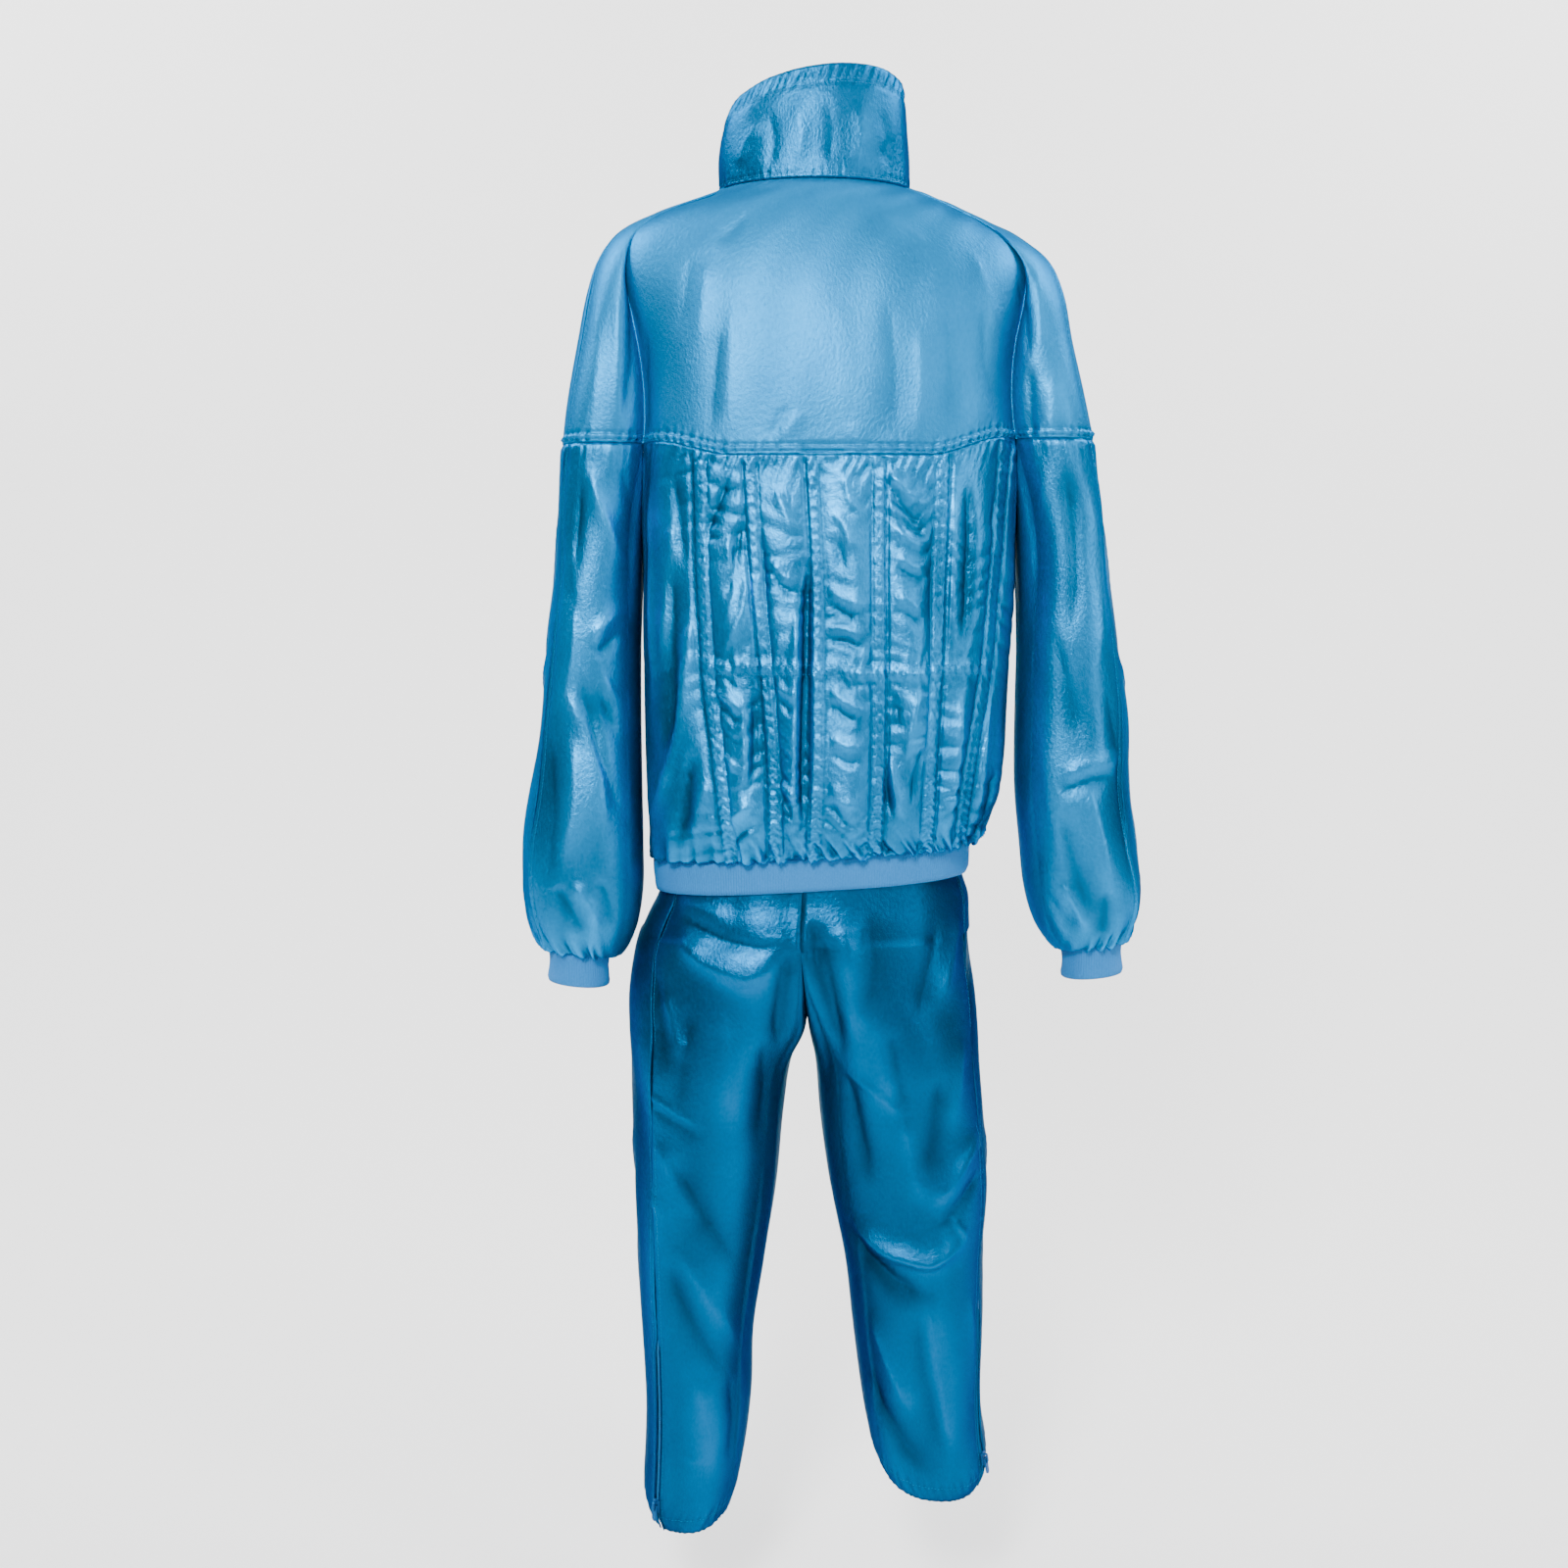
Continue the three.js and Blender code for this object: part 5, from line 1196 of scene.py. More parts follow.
def fork_point(side, angle):
    turn = (np.abs(angle) - CENTRE_SEAM) / (np.pi - CENTRE_SEAM) * np.pi / 2
    end = trouser_point(side, np.sign(angle) * CENTRE_SEAM, float(SEAT_SEAM_END))
    level = height_to_share(SEAT, float(SEAT_SEAM_END))
    middle = (along(SEAT, "back", level) - along(SEAT, "front", level)) / 2
    x = mix(end[..., 0], FORK["x"], np.sin(turn)) + SIGN[side] * SEAM_GAP / 2
    z = mix(SEAT_SEAM_END, FORK["z"], np.sin(turn) ** 0.85)
    return point(x, mix(middle, end[..., 1], np.cos(turn)), z)


def lower_leg_point(side, angle, v):
    """A point below the seat at a share v of the way to the hem, on the inner leg too."""
    angle, v = np.broadcast_arrays(angle, v)
    hem = LEGS[side]["z"][-1]
    plain = trouser_point(side, angle, mix(SEAT_SEAM_END, hem, v))
    inner = np.abs(angle) > CENTRE_SEAM + 1e-9
    beyond = np.where(inner, angle, np.sign(angle + 1e-12) * CENTRE_SEAM)
    fork = fork_point(side, beyond)
    pull = fork - trouser_point(side, beyond, fork[..., 2])
    forked = trouser_point(side, beyond, mix(fork[..., 2], hem, v))
    forked = forked + pull * (1 - smooth(0, 0.2, v))[..., None]
    return np.where(inner[..., None], forked, plain)


SEAT_FOLDS = [
    (-9.0, 10, 9, [(3, -680), (-7, -713), (-14, -750), (-22, -788), (-31, -830)]),
    (-6.5, 8, 9, [(21, -708), (28, -746), (32, -783), (30, -821)]),
    (6.5, 24, 9, [(134, -703), (103, -730), (62, -743), (21, -725)]),
    (3.6, 11, 10, [(137, -673), (108, -680), (71, -686)]),
    (-4.8, 9, 8, [(128, -687), (86, -706), (51, -714), (25, -708)]),
    (1.1, 2.4, 1.8, [(84, -701), (49, -704), (16, -705)]),
    (1.1, 2.4, 1.8, [(8, -705), (-19, -701), (-51, -693)]),
    (0.9, 2.2, 1.6, [(101, -746), (64, -746), (29, -749)]),
    (-3.4, 13, 11, [(-51, -675), (-57, -727), (-51, -783)]),
    (3.8, 13, 12, [(-27, -685), (-36, -746), (-38, -812)]),
    (3.4, 9, 9, [(-143, -685), (-134, -731), (-120, -783)]),
    (-3.0, 9, 9, [(-121, -685), (-112, -736), (-99, -793)]),
    (3.0, 8, 9, [(142, -755), (131, -793), (120, -830)]),
    (-3.0, 9, 9, [(152, -731), (145, -783), (138, -840)]),
]
LEFT_LEG_FOLDS = [
    (2.2, 3.2, 2.2, [(161, -858), (135, -871), (103, -890)]),
    (-1.8, 7, 4, [(157, -870), (130, -884), (105, -900)]),
    (-3.8, 13, 10, [(137, -913), (115, -951), (91, -990), (66, -1034)]),
    (3.2, 12, 12, [(150, -899), (130, -942), (106, -985)]),
    (3.2, 13, 11, [(134, -1000), (108, -1043), (82, -1084), (63, -1131)]),
    (-3.8, 11, 10, [(145, -1019), (123, -1063), (99, -1106), (80, -1141)]),
    (2.6, 5, 4, [(169, -927), (156, -956), (143, -985)]),
    (2.6, 15, 14, [(82, -761), (77, -822), (73, -894)]),
    (-2.8, 13, 13, [(47, -794), (45, -851), (53, -918)]),
    (-3.0, 11, 11, [(116, -765), (123, -822), (128, -879)]),
    (2.6, 13, 11, [(110, -1131), (99, -1180), (95, -1245)]),
    (-2.4, 10, 10, [(80, -1136), (76, -1185), (82, -1240)]),
    (1.2, 3, 2, [(131, -1215), (116, -1222), (101, -1218)]),
]
RIGHT_LEG_FOLDS = [
    (-3.2, 6, 5, [(-72, -789), (-80, -830), (-89, -872)]),
    (3.2, 10, 8, [(-57, -770), (-66, -820), (-80, -870)]),
    (3.4, 10, 9, [(-85, -870), (-95, -918), (-109, -972)]),
    (-4.4, 13, 11, [(-124, -832), (-117, -889), (-105, -948)]),
    (3.0, 11, 10, [(-146, -803), (-141, -851), (-130, -899)]),
    (5.6, 11, 10, [(-166, -899), (-140, -935), (-110, -974)]),
    (-3.8, 8, 7, [(-165, -937), (-140, -968), (-118, -995)]),
    (2.4, 3.4, 2.8, [(-129, -976), (-141, -989), (-152, -1004)]),
    (9.4, 15, 7, [(-32, -979), (-69, -1012), (-113, -1024), (-160, -997)]),
    (-6.4, 8, 13, [(-26, -987), (-49, -1018), (-79, -1041), (-121, -1057)]),
    (4.2, 11, 4, [(-113, -1045), (-118, -1112), (-128, -1171), (-140, -1235)]),
    (-3.6, 8, 11, [(-100, -1058), (-106, -1117), (-118, -1171), (-128, -1225)]),
    (-4.8, 13, 10, [(-49, -1117), (-64, -1167), (-89, -1208), (-126, -1242)]),
    (3.8, 12, 10, [(-55, -1077), (-76, -1131), (-101, -1182)]),
    (2.0, 5, 4, [(-26, -832), (-54, -849), (-91, -881)]),
    (-4.2, 10, 10, [(-33, -832), (-44, -889), (-56, -951)]),
    (2.6, 9, 9, [(-153, -1053), (-161, -1121), (-163, -1180)]),
]
LEG_FRONT_FOLDS = [
    (-3.0, 8, 6, [(12, -690), (26, -740), (44, -790)]),
    (2.4, 10, 8, [(36, -680), (54, -730), (70, -790)]),
    (-2.0, 8, 6, [(60, -660), (84, -700), (116, -726)]),
    (1.7, 9, 8, [(100, -740), (104, -820), (98, -900)]),
    (-1.6, 8, 7, [(126, -760), (130, -840), (124, -920)]),
    (1.6, 3.5, 2.5, [(112, -900), (112, -1000), (114, -1120), (116, -1240)]),
    (2.2, 9, 7, [(70, -960), (96, -990), (130, -1004)]),
    (-2.4, 8, 6, [(66, -984), (94, -1014), (134, -1026)]),
    (1.8, 8, 6, [(150, -1020), (132, -1060), (108, -1086)]),
    (-1.8, 8, 6, [(154, -1044), (132, -1084), (104, -1108)]),
    (1.6, 9, 7, [(82, -1120), (92, -1180), (100, -1236)]),
    (-1.6, 8, 6, [(142, -1130), (136, -1190), (132, -1240)]),
]
LEG_SIDE_FOLDS = [
    (1.6, 9, 7, [(-30, -700), (-16, -780), (-20, -860)]),
    (-1.6, 8, 6, [(-52, -720), (-40, -800), (-44, -880)]),
    (1.8, 8, 6, [(30, -900), (4, -950), (-30, -980)]),
    (-2.0, 8, 6, [(32, -926), (6, -974), (-32, -1002)]),
    (1.5, 10, 8, [(-24, -1030), (-10, -1110), (-14, -1190)]),
    (-1.5, 8, 7, [(-46, -1060), (-36, -1130), (-40, -1210)]),
    (1.4, 8, 7, [(20, -1010), (12, -1080), (16, -1130)]),
]
# The legs' copy of the shell cloth is darker than the jacket's: painted shade for the lower garment, which
# catches less light.
leg_painted_shade_blue = silk("leg_painted_shade_blue", (0.000, 0.040, 0.120), (0.000, 0.128, 0.310), 0.34, 0.5)
LEG_BACK = {"left": LEFT_LEG_FOLDS, "right": RIGHT_LEG_FOLDS}
LEG_HEM_STITCHES = 16
LEG_ZIP_STITCHES = 6
INNER_COLUMNS = 16
# For each face: its turn about the leg, its columns to the side seam, and its rows above and
# below the seat seam's end.
LEG_GRID = {"back": (1, 56, 64, 168), "front": (-1, 64, 50, 124)}
for side in ("left", "right"):
    outer = SIDE_SEAM[side]
    for face, (sign, columns, tall_seat, tall_leg) in LEG_GRID.items():
        inner_leg = np.linspace(sign * np.pi, sign * CENTRE_SEAM, INNER_COLUMNS + 1)[:-1]
        angles = np.concatenate([inner_leg, np.linspace(sign * CENTRE_SEAM, outer, columns)])[:, None]
        seat_rows = np.linspace(SEAT["z"][0], SEAT_SEAM_END, tall_seat)[:-1]
        upper = trouser_point(side, angles, seat_rows[None])
        upper[:INNER_COLUMNS] = np.nan
        v = np.linspace(0, 1, tall_leg)
        lower = lower_leg_point(side, angles, v[None])
        away = unit(lower_leg_point(side, outer + sign * math.radians(4), v) - lower[-1])
        lower[-1] += away * (ANKLE_GAP * smooth(ANKLE_ZIP["top"], ANKLE_ZIP["open"], v))[:, None]
        points = np.concatenate([upper, lower], axis=1)
        out = facing(points)
        down, up, across = lengths(points)
        across_side = across[-1:] - across
        seed = 600 + 20 * (side == "left") + 5 * (face == "back")
        raised = 1.2 * crumple(across, down, 84, seed, 2.6)
        if face == "back":
            raised += lay(points, out, "back", SEAT_FOLDS) + lay(points, out, "back", LEG_BACK[side])
        else:
            front = LEG_FRONT_FOLDS if side == "left" else turned_over(LEG_FRONT_FOLDS, -4)
            raised += 1.6 * lay(points, out, "front", front)
        raised += 0.8 * lay(points, out, side, LEG_SIDE_FOLDS)
        below = (np.arange(points.shape[1]) > tall_seat)[None]
        from_centre = across - across[INNER_COLUMNS:INNER_COLUMNS + 1]
        raised -= 0.6 * ridge(np.clip(from_centre, 0, 99), 0, 2.2) * ~below
        # Puckers along the side seam and round the hem, whose stitches sink in.
        raised += 0.5 * uneven(down, 9, seed + 1) * np.exp(-across_side / 7) * smooth(0.4, 3, across_side)
        raised += 0.9 * uneven(across, 8.5, seed + 2) * ridge(up, LEG_HEM_STITCHES - 1, 8)
        raised += 0.5 * uneven(across, 6.5, seed + 3) * np.exp(-up / 10)
        raised -= 0.6 * ridge(up, LEG_HEM_STITCHES, 0.9)
        # Calmer beside the ankle zip, along the inner leg and near the seams.
        by_zip = ridge(across_side, 0, 14) * smooth(0.6, 0.7, np.concatenate([0 * seat_rows, v]))[None]
        raised *= 1 - 0.85 * by_zip
        raised -= 0.45 * ridge(across_side, LEG_ZIP_STITCHES, 0.8) * (by_zip > 0.2)
        raised *= np.where(angles * sign > CENTRE_SEAM, 0.5, 1)
        from_seam = np.where(below, across, from_centre)
        from_fork = down - down[:, tall_seat:tall_seat + 1]
        from_seam[:INNER_COLUMNS] = np.minimum(across, from_fork)[:INNER_COLUMNS]
        raised = np.clip(np.nan_to_num(raised), -10, 9) * smooth(0, 9, np.nan_to_num(from_seam))
        leg = wall(f"leg_{face}_{side}_cloth", points, raised, SHELL, leg_painted_shade_blue)
        sewn_in(leg, f"leg_{face}_{side}")

around = np.linspace(-CENTRE_SEAM, CENTRE_SEAM, 130)
top = np.concatenate([seat_point("left", around, 0.0), seat_point("right", around[::-1], 0.0)[1:-1]])
top = np.concatenate([top, top[:1]])
rise = np.linspace(WAISTBAND_TALL, 0, 9)
waist_points = top[:, None] + np.stack([0 * rise, 0 * rise, rise], axis=-1)[None]
down, up, across = lengths(waist_points)
span = across / across[-1:] * np.round(across[-1:].mean() / 9) * 2 * np.pi
raised = 0.8 * np.sin(span) * np.sin(np.pi * down / WAISTBAND_TALL) + 0.3 * np.sin(2 * span + 1)
raised *= smooth(0, 3, down) * smooth(0, 3, up)
raised[-1] = raised[0]
waistband = wall("waistband_cloth", waist_points, raised, DOUBLE, leg_painted_shade_blue, closed=True)
sewn_in(waistband, "waistband")

# Front zip
# One woven tape behind both edges, from the collar's rim to the hem, with moulded teeth that
# close in front of it. The slider stands near the top of the collar, its tab hanging.
TAPE = 1.0
TAPE_COLUMNS = 17
BEAD = {"place": 3.4, "wide": 0.5, "tall": 0.25}
TOOTH_SHARE = 0.26
BLOCK_SIDES = ("Wide", "Thick", "Long")
FRONT_ZIP = {"half": 12, "in": 3.1, "step": 2.6, "tooth": (1.5, 3.0, 4.2)}


def woven_tape(name, dark, light):
    """Close woven tape with a fine herringbone, matte beside the shell cloth."""
    finish, tree, shader = new_finish(name, {"Roughness": 0.75, "Specular IOR Level": 0.1})
    place = node(tree, "ShaderNodeUVMap", uv_map="cloth")
    wave = node(tree, "ShaderNodeTexWave", {"Scale": 420, "Distortion": 1.5}, bands_direction="DIAGONAL")
    tone = two_tones(tree, dark, light)
    bump = node(tree, "ShaderNodeBump", {"Strength": 0.4, "Distance": 0.0003})
    join(
        tree,
        (place, "UV", wave, "Vector"), (wave, "Fac", tone, "Factor"), (wave, "Fac", bump, "Height"),
        (tone, "Result", shader, "Base Color"), (bump, "Normal", shader, "Normal"),
    )
    return finish


def moulded(name, dark, light, roughness=0.3, metal=0.0):
    """Coloured plastic or lacquer, a little uneven in tone and shine."""
    finish, tree, shader = new_finish(name, {
        "Metallic": metal, "Specular IOR Level": 0.15, "Specular Tint": (0.1, 0.35, 0.6, 1),
    })
    place = node(tree, "ShaderNodeTexCoord")
    noise = node(tree, "ShaderNodeTexNoise", {"Scale": 260, "Detail": 4})
    tone = two_tones(tree, dark, light)
    shine = node(tree, "ShaderNodeMapRange", {"To Min": roughness - 0.08, "To Max": roughness + 0.12})
    join(
        tree,
        (place, "Object", noise, "Vector"), (noise, "Fac", tone, "Factor"), (noise, "Fac", shine, "Value"),
        (tone, "Result", shader, "Base Color"), (shine, "Result", shader, "Roughness"),
    )
    return finish


tape_blue = woven_tape("tape_blue", (0.010, 0.100, 0.270), (0.020, 0.165, 0.390))
tooth_blue = moulded("tooth_blue", (0.012, 0.120, 0.330), (0.022, 0.180, 0.430))
lacquer_blue = moulded("lacquer_blue", (0.004, 0.055, 0.170), (0.012, 0.105, 0.280), 0.36, 0.5)


def repeated(name, spots, up, out, size, finish):
    """Small rounded blocks along a route, each at its spot, long on its up and thick on its out.
    The Geometry Nodes tree puts one block on each point and turns it to the route."""
    cloud = bpy.data.meshes.new(name)
    cloud.from_pydata((spots / 1000).tolist(), [], [])
    for label, rows in (("up", up), ("out", out)):
        layer = cloud.attributes.new(label, "FLOAT_VECTOR", "POINT")
        layer.data.foreach_set("vector", rows.astype(np.float32).ravel())
    piece = bpy.data.objects.new(name, cloud)
    bpy.context.scene.collection.objects.link(piece)
    tree = bpy.data.node_groups.new(name, "GeometryNodeTree")
    for way in ("INPUT", "OUTPUT"):
        tree.interface.new_socket("Geometry", in_out=way, socket_type="NodeSocketGeometry")
    sizes = {}
    for label, length in zip(BLOCK_SIDES, size):
        socket = tree.interface.new_socket(label, in_out="INPUT", socket_type="NodeSocketFloat")
        sizes[socket.identifier] = length / 1000
    given, result = node(tree, "NodeGroupInput"), node(tree, "NodeGroupOutput")
    block = node(tree, "GeometryNodeMeshUVSphere", {"Segments": 5, "Rings": 3, "Radius": 0.5})
    scale, shaped = node(tree, "ShaderNodeCombineXYZ"), node(tree, "GeometryNodeTransform")
    up_way, out_way = (
        node(tree, "GeometryNodeInputNamedAttribute", {"Name": label}, data_type="FLOAT_VECTOR")
        for label in ("up", "out")
    )
    turn = node(tree, "FunctionNodeAxesToRotation", primary_axis="Z", secondary_axis="Y")
    placed, real = node(tree, "GeometryNodeInstanceOnPoints"), node(tree, "GeometryNodeRealizeInstances")
    painted = node(tree, "GeometryNodeSetMaterial", {"Material": finish})
    join(
        tree,
        *((given, label, scale, axis) for label, axis in zip(BLOCK_SIDES, "XYZ")),
        (block, "Mesh", shaped, "Geometry"), (scale, "Vector", shaped, "Scale"),
        (up_way, "Attribute", turn, "Primary Axis"), (out_way, "Attribute", turn, "Secondary Axis"),
        (given, "Geometry", placed, "Points"), (shaped, "Geometry", placed, "Instance"),
        (turn, "Rotation", placed, "Rotation"), (placed, "Instances", real, "Geometry"),
        (real, "Geometry", painted, "Geometry"), (painted, "Geometry", result, "Geometry"),
    )
    modifier = piece.modifiers.new(name, "NODES")
    modifier.node_group = tree
    for identifier, length in sizes.items():
        modifier[identifier] = length
    bpy.context.view_layer.update()
    made = bpy.data.meshes.new_from_object(piece.evaluated_get(bpy.context.evaluated_depsgraph_get()))
    piece.modifiers.remove(modifier)
    piece.data = made
    made.name = name
    made.polygons.foreach_set("use_smooth", [True] * len(made.polygons))
    return piece


def teeth(name, node_name, line, sideways, outward, step, size):
    """Two rows of teeth that meet in the middle, one row half a step behind the other."""
    length = path_length(line)
    stations = np.arange(step, length[-1] - step, step / 2)
    spots, side_way, out_way = (stepped(grid, length, stations) for grid in (line, sideways, outward))
    side_way, out_way = unit(side_way), unit(out_way)
    turn = np.where(np.arange(len(stations)) % 2 == 0, 1, -1)[:, None]
    spots += side_way * turn * (size[2] * TOOTH_SHARE)
    piece = repeated(name, spots, side_way, out_way, size, tooth_blue)
    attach(piece, "suit")
    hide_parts(node_name)


def front_grid(offsets):
    """Points beside the centre front, from the collar's rim to the hem rib's end."""
    stops = [(COLLAR, collar_point, v, 2) for v in np.linspace(0.94, 0.1, 14)]
    stops += [(YOKE, yoke_round, v, None) for v in np.linspace(0, 0.96, 40)]
    stops += [(BODY, body_point, v, None) for v in np.linspace(0.03, 1, 70)]
    stops += [(HEM_RIB, hem_rib_point, v, None) for v in np.linspace(0.3, 0.94, 6)]
    columns = []
    for offset in offsets:
        column = []
        for rows, point_at, v, full in stops:
            v = np.array(v, float)
            column.append(point_at(-angle_at_x(rows, middle_x(rows, v) + offset, v, full), v))
        columns.append(column)
    return np.array(columns)


def softened(grid):
    """Evens out small steps down the columns where one piece's surface gives way to the next."""
    for _ in range(3):
        grid[:, 1:-1] = (grid[:, :-2] + 2 * grid[:, 1:-1] + grid[:, 2:]) / 4
    return grid


def tape_and_teeth(label, grid, sizes, centre):
    """A tape set in behind the cloth's edges, a beaded cord along each row of teeth."""
    out = facing(grid, centre)
    beside = runs(grid, 0)
    middle = len(grid) // 2
    from_middle = np.abs(beside - beside[middle])
    raised = -sizes["in"] + BEAD["tall"] * ridge(from_middle, BEAD["place"], BEAD["wide"])
    tape = wall(f"{label}_tape", grid, raised, TAPE, tape_blue, centre=centre)
    sewn_in(tape, label)
    line = grid[middle] - out[middle] * (sizes["in"] - sizes["tooth"][1] / 2)
    sideways = unit(grid[middle + 1] - grid[middle - 1])
    teeth(f"{label}_teeth", label, line, sideways, out[middle], sizes["step"], sizes["tooth"])


front_tape = softened(front_grid(np.linspace(-FRONT_ZIP["half"], FRONT_ZIP["half"], TAPE_COLUMNS)))
tape_and_teeth("front_zip", front_tape, FRONT_ZIP, (0, 0, -256))

# Ankle zips
# A short zip in each leg's side seam, from the shin to the hem, on a narrower tape. Each is
# closed, its slider near the hem and its tab hanging.
ANKLE_TAPE = {"half": 8, "in": 2.3, "step": 2.0, "tooth": (1.2, 2.3, 3.2)}
TAPE_STARTS = 0.005
TAPE_ENDS = 0.013


def ankle_point(side, offset, v):
    middle = lower_leg_point(side, SIDE_SEAM[side], v)
    step = math.radians(3)
    beside = lower_leg_point(side, SIDE_SEAM[side] + step, v)
    turn = step * offset / np.linalg.norm(beside - middle, axis=-1)
    return lower_leg_point(side, SIDE_SEAM[side] + turn, v)


for side in ("left", "right"):
    offsets = np.linspace(-ANKLE_TAPE["half"], ANKLE_TAPE["half"], TAPE_COLUMNS)[:, None]
    down_the_leg = np.linspace(ANKLE_ZIP["top"] + TAPE_STARTS, ANKLE_ZIP["end"] + TAPE_ENDS, 60)[None]
    grid = ankle_point(side, *np.broadcast_arrays(offsets, down_the_leg))
    hem = LEGS[side]
    centre = (SIGN[side] * middle_x(hem, 1), float(hem["y"][-1]), float(hem["z"][-1]))
    leg = f"leg_front_{side}_cloth"
    tape_and_teeth(f"ankle_zip_{side}", grid, ANKLE_TAPE, centre)

# Sliders and pull tabs
# Small die-cast parts in blue lacquer. They keep the shapes of the solids, with their edges
# catching the light.
for label in ("front", "ankle_left", "ankle_right"):
    for part in ("slider", "pull_tab"):
        metal_part = bpy.data.objects[f"{label}_{part}"]
        metal_part.data.materials.clear()
        metal_part.data.materials.append(lacquer_blue)

# Stitching
# Lockstitch in a thread that matches the cloth, here given a darker blue than the cloth as painted shade
# where the stitches sink in: twin rows along the yoke seams, rows round the collar, arms, hems and zips,
# and the zigzag that shirs the back. Each stitch lies in a pucker.
STITCH = (0.75, 0.45, 2.8)
STITCH_STEP = 3.4
STITCH_SUNK = 0.2
OVERARM_STITCHES = 5.2
CUFF_STITCHES = 3.0
RIB_STITCHES = 2.4
SEAT_STITCHES = 2.2
ZIGZAG_STEP = 3.1
END, TOP, LAST, FIRST = (1, True), (1, False), (0, True), (0, False)
# The thread is darker than the cloth: painted shade for the dips where the stitches sink in.
thread_painted_shade_blue = moulded("thread_painted_shade_blue", (0.004, 0.120, 0.280), (0.008, 0.170, 0.360), 0.6)


def sampled(name, i, j):
    """Points and outward directions on a finished cloth at fractional columns and rows, where
    there is cloth."""
    outer, outward = CLOTHS[name]
    last = np.array(outer.shape[:2]) - 1.001
    i, j = np.broadcast_arrays(np.clip(i, 0, last[0]), np.clip(j, 0, last[1]))
    a, b = i.astype(int), j.astype(int)
    s, t = (i - a)[..., None], (j - b)[..., None]
    spots, out = (
        mix(mix(grid[a, b], grid[a + 1, b], s), mix(grid[a, b + 1], grid[a + 1, b + 1], s), t)
        for grid in (outer, outward)
    )
    there = ~np.isnan(spots[:, 0])
    return spots[there], out[there]


def straight(name, i, j):
    """Stitches end to end along a route over one cloth."""
    spots, out = sampled(name, i, j)
    length = path_length(spots)
    stations = np.arange(STITCH_STEP / 2, length[-1], STITCH_STEP)
    spots, out = stepped(spots, length, stations), stepped(out, length, stations)
    return spots, unit(np.gradient(spots, axis=0)), unit(out)


def zigzag(name, i, j):
    """One slanting stitch between each place and the next, which lies across the row from it."""
    spots, out = sampled(name, i, j)
    return (spots[1:] + spots[:-1]) / 2, unit(np.diff(spots, axis=0)), unit(out[1:] + out[:-1])


def beside_edge(name, edge, distance):
    """Fractional columns and rows that keep one distance from an edge of a cloth."""
    axis, from_end = edge
    length = runs(CLOTHS[name][0], axis)
    length = length if axis else length.T
    length = length[:, -1:] - length if from_end else length
    order = slice(None, None, -1) if from_end else slice(None)
    stops = np.arange(length.shape[1], dtype=float)
    places = np.array([np.interp(distance, line[order], stops[order]) for line in length])
    every = np.arange(length.shape[0], dtype=float)
    return (every, places) if axis else (places, every)


def sew(name, rows):
    """All the stitches of one garment, as one piece of thread on the body of cloth."""
    spots, up, out = (np.concatenate(parts) for parts in zip(*rows))
    thread = repeated(name, spots + out * STITCH[1] * STITCH_SUNK, up, out, STITCH, thread_painted_shade_blue)
    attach(thread, "suit")


jacket_seams = [
    (f"{yoke}_cloth", END, gap)
    for yoke in ("back_yoke", "front_yoke_left", "front_yoke_right") for gap in YOKE_STITCHES
]
jacket_seams += [("collar_cloth", END, gap) for gap in RIM_STITCHES]
jacket_seams += [("collar_cloth", TOP, NECK_STITCHES)]
for side in ("left", "right"):
    jacket_seams += [
        (f"sleeve_back_{side}_cloth", FIRST, OVERARM_STITCHES),
        (f"sleeve_back_{side}_cloth", END, CUFF_STITCHES),
        (f"sleeve_front_{side}_cloth", END, CUFF_STITCHES),
        (f"front_body_{side}_cloth", LAST, FRONT_ZIP_STITCHES),
        (f"front_body_{side}_cloth", END, RIB_STITCHES),
    ]
jacket_seams += [("back_yoke_cloth", edge, OVERARM_STITCHES) for edge in (LAST, FIRST)]
jacket_seams += [("back_panel", END, RIB_STITCHES)]
jacket_rows = [straight(name, *beside_edge(name, edge, distance)) for name, edge, distance in jacket_seams]

# The zigzag: two rows down each shirred band, found by the band's columns, and two rows along
# the level band, found by height.
FIRST_BAND = 34
BAND_COLUMNS = 30
back_length = float(np.nanmean(back_down[:, -1]))
rows_down = np.arange(3, back_v.shape[1] - 4, ZIGZAG_STEP * (back_v.shape[1] - 1) / back_length)
swing = np.where(np.arange(len(rows_down)) % 2, 1.1, -1.1)
for k in range(6):
    middle = FIRST_BAND + k * BAND_COLUMNS + 4
    jacket_rows += [zigzag("back_panel", middle + beside + swing, rows_down) for beside in (-2.6, 2.6)]
band_columns = np.linspace(FIRST_BAND + 9, FIRST_BAND + 5 * BAND_COLUMNS - 1, 118)
heights = CLOTHS["back_panel"][0][np.round(band_columns).astype(int), :, 2]
swing = np.where(np.arange(len(band_columns)) % 2, 1.3, -1.3)
for beside in (-4.2, 4.2):
    goal = MID_BAND_Z + beside + swing
    places = [np.interp(-z, -line, np.arange(len(line))) for z, line in zip(goal, heights)]
    jacket_rows.append(zigzag("back_panel", band_columns, np.array(places)))
sew("jacket_stitches", jacket_rows)

trouser_rows = []
for side in ("left", "right"):
    for face in ("back", "front"):
        leg = f"leg_{face}_{side}_cloth"
        trouser_rows.append(straight(leg, *beside_edge(leg, END, LEG_HEM_STITCHES)))
        i, j = beside_edge(leg, LAST, LEG_ZIP_STITCHES)
        low = j > 0.52 * j[-1]
        trouser_rows.append(straight(leg, i[low], j[low]))
    leg = f"leg_back_{side}_cloth"
    i, j = beside_edge(leg, LAST, SEAT_STITCHES)
    high = j < 0.4 * j[-1]
    trouser_rows.append(straight(leg, i[high], j[high]))
sew("trouser_stitches", trouser_rows)

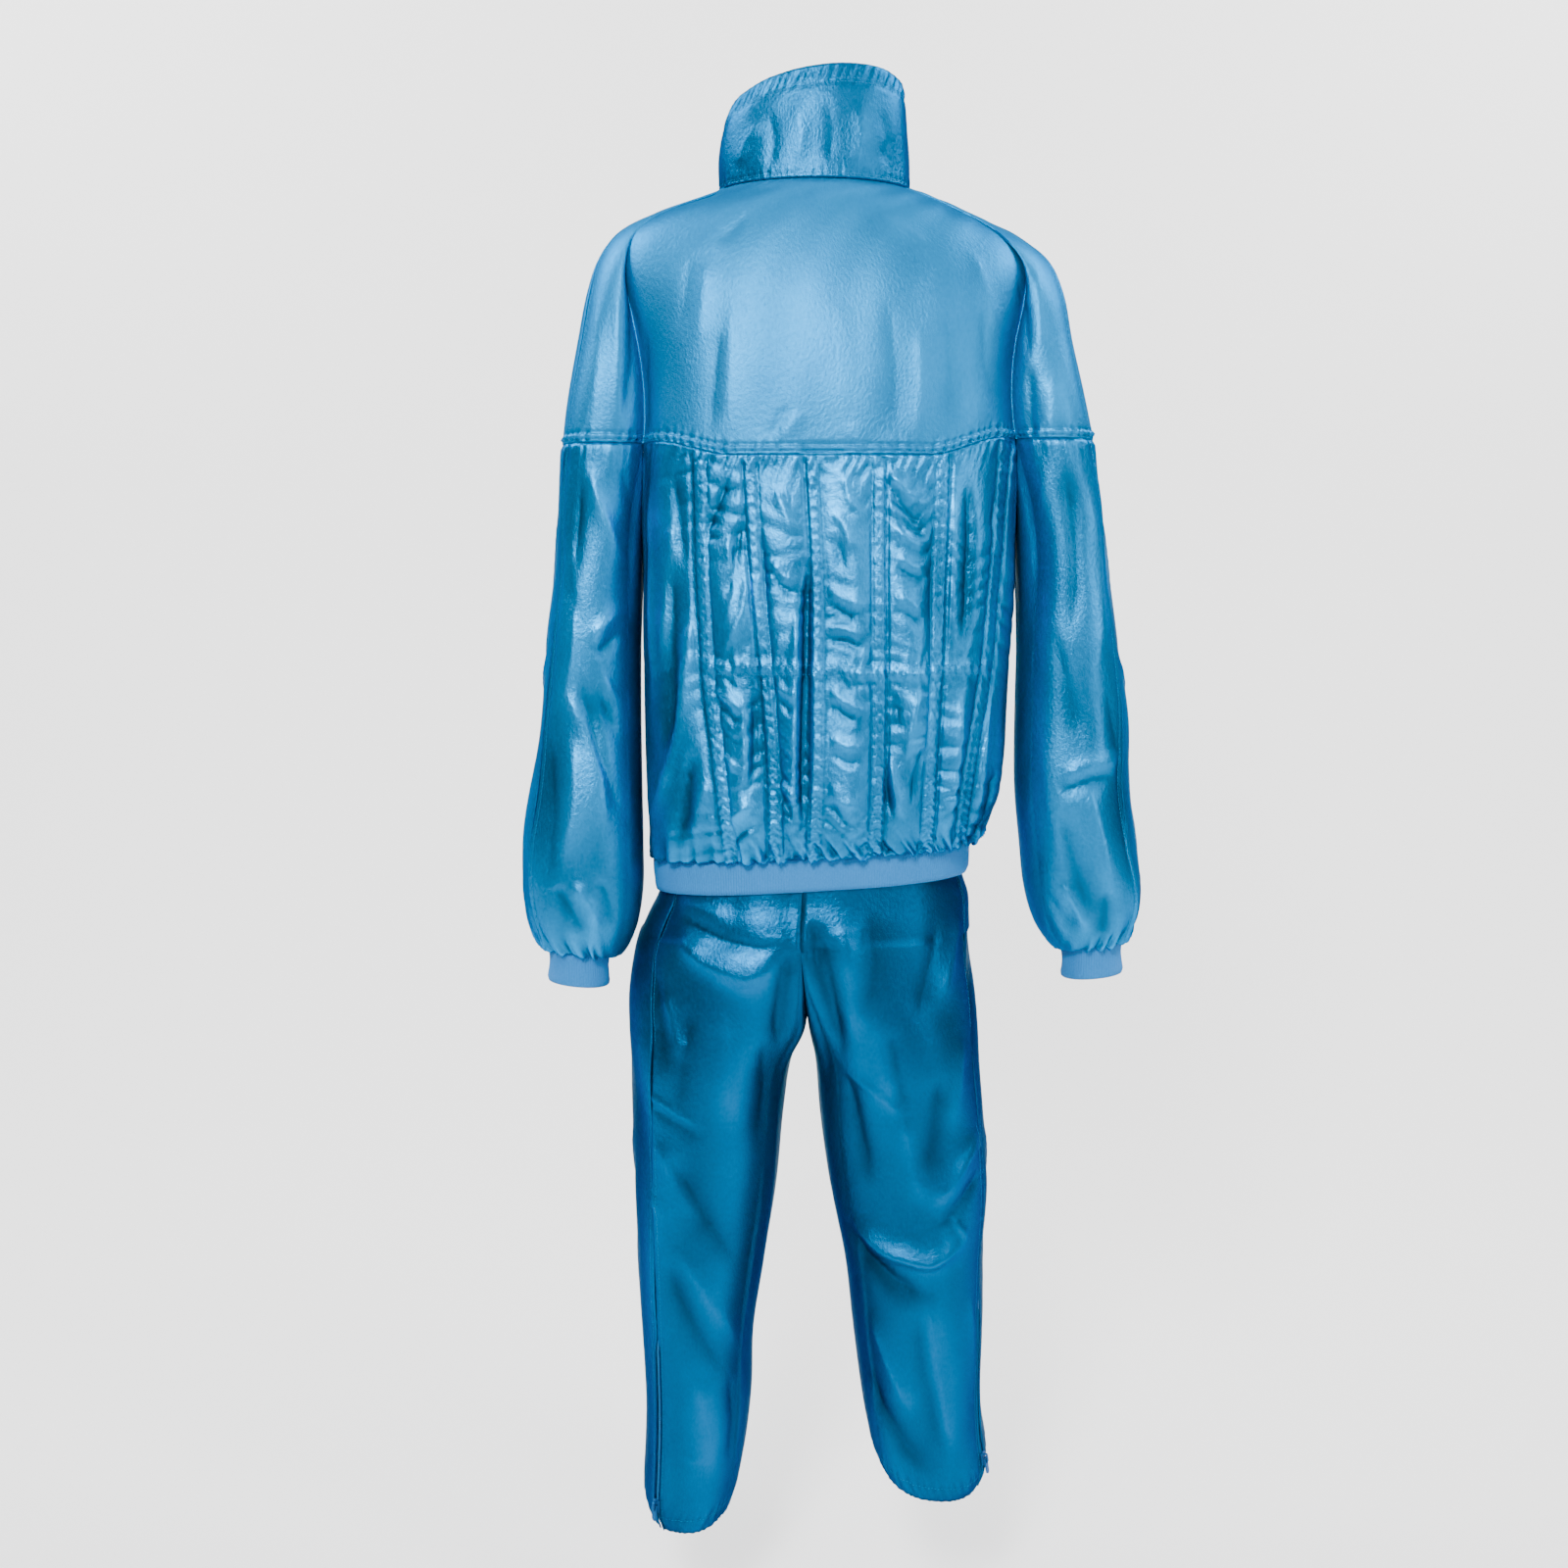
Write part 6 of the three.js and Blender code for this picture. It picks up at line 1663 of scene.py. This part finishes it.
# Floor and light
# A plain pale floor that sweeps up behind, and plain soft studio light.
FLOOR_Z = -1.43
FLOOR_FRONT = 5.0
FLAT_BACK = -1.6
SWEEP = 1.4
WALL_TOP = 4.5
HALF_WIDE = 6
pale = new_finish("pale_floor", {"Base Color": (0.86, 0.86, 0.86, 1), "Roughness": 0.9})[0]
profile = [(FLOOR_FRONT, FLOOR_Z), (FLAT_BACK, FLOOR_Z)]
profile += [
    (FLAT_BACK - SWEEP * math.sin(t), FLOOR_Z + SWEEP - SWEEP * math.cos(t))
    for t in np.linspace(0.1, np.pi / 2, 14)
]
profile += [(FLAT_BACK - SWEEP, WALL_TOP)]
sweep = bpy.data.meshes.new("floor")
corners = [(x, y, z) for y, z in profile for x in (-HALF_WIDE, HALF_WIDE)]
strips = [(2 * k, 2 * k + 1, 2 * k + 3, 2 * k + 2) for k in range(len(profile) - 1)]
sweep.from_pydata(corners, [], strips)
sweep.polygons.foreach_set("use_smooth", [True] * len(strips))
sweep.materials.append(pale)
floor = bpy.data.objects.new("floor", sweep)
bpy.context.scene.collection.objects.link(floor)
floor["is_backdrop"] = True

world = bpy.data.worlds.new("studio")
bpy.context.scene.world = world
world.use_nodes = True
world.node_tree.nodes["Background"].inputs["Color"].default_value = (1, 1, 1, 1)
world.node_tree.nodes["Background"].inputs["Strength"].default_value = 0.06
LIGHTS = (
    # place, aimed at, width, height, watts
    ((0.5, 2.4, 0.8), (0, 0.1, -0.45), 0.5, 0.7, 118),
    ((-1.8, 1.7, 0.2), (0, 0, -0.6), 0.5, 1.6, 32),
    ((2.6, -0.6, 2.0), (0.4, -3.2, -0.6), 2.0, 2.0, 250),
    ((-2.6, -0.6, 2.0), (-0.4, -3.2, -0.6), 2.0, 2.0, 250),
    ((0.0, 0.6, 3.2), (0, -0.8, -1.43), 2.4, 2.4, 60),
)
for k, (place, aim, wide, tall, watts) in enumerate(LIGHTS):
    lamp = bpy.data.lights.new(f"lamp_{k}", "AREA")
    lamp.shape = "RECTANGLE"
    lamp.size, lamp.size_y, lamp.energy = wide, tall, watts
    holder = bpy.data.objects.new(f"lamp_{k}", lamp)
    bpy.context.scene.collection.objects.link(holder)
    holder.location = place
    way = np.array(aim, float) - np.array(place)
    from_side = math.atan2(way[1], way[0]) - np.pi / 2
    from_below = math.atan2(np.hypot(way[0], way[1]), -way[2])
    holder.rotation_euler = (from_below, 0, from_side)

low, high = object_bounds()
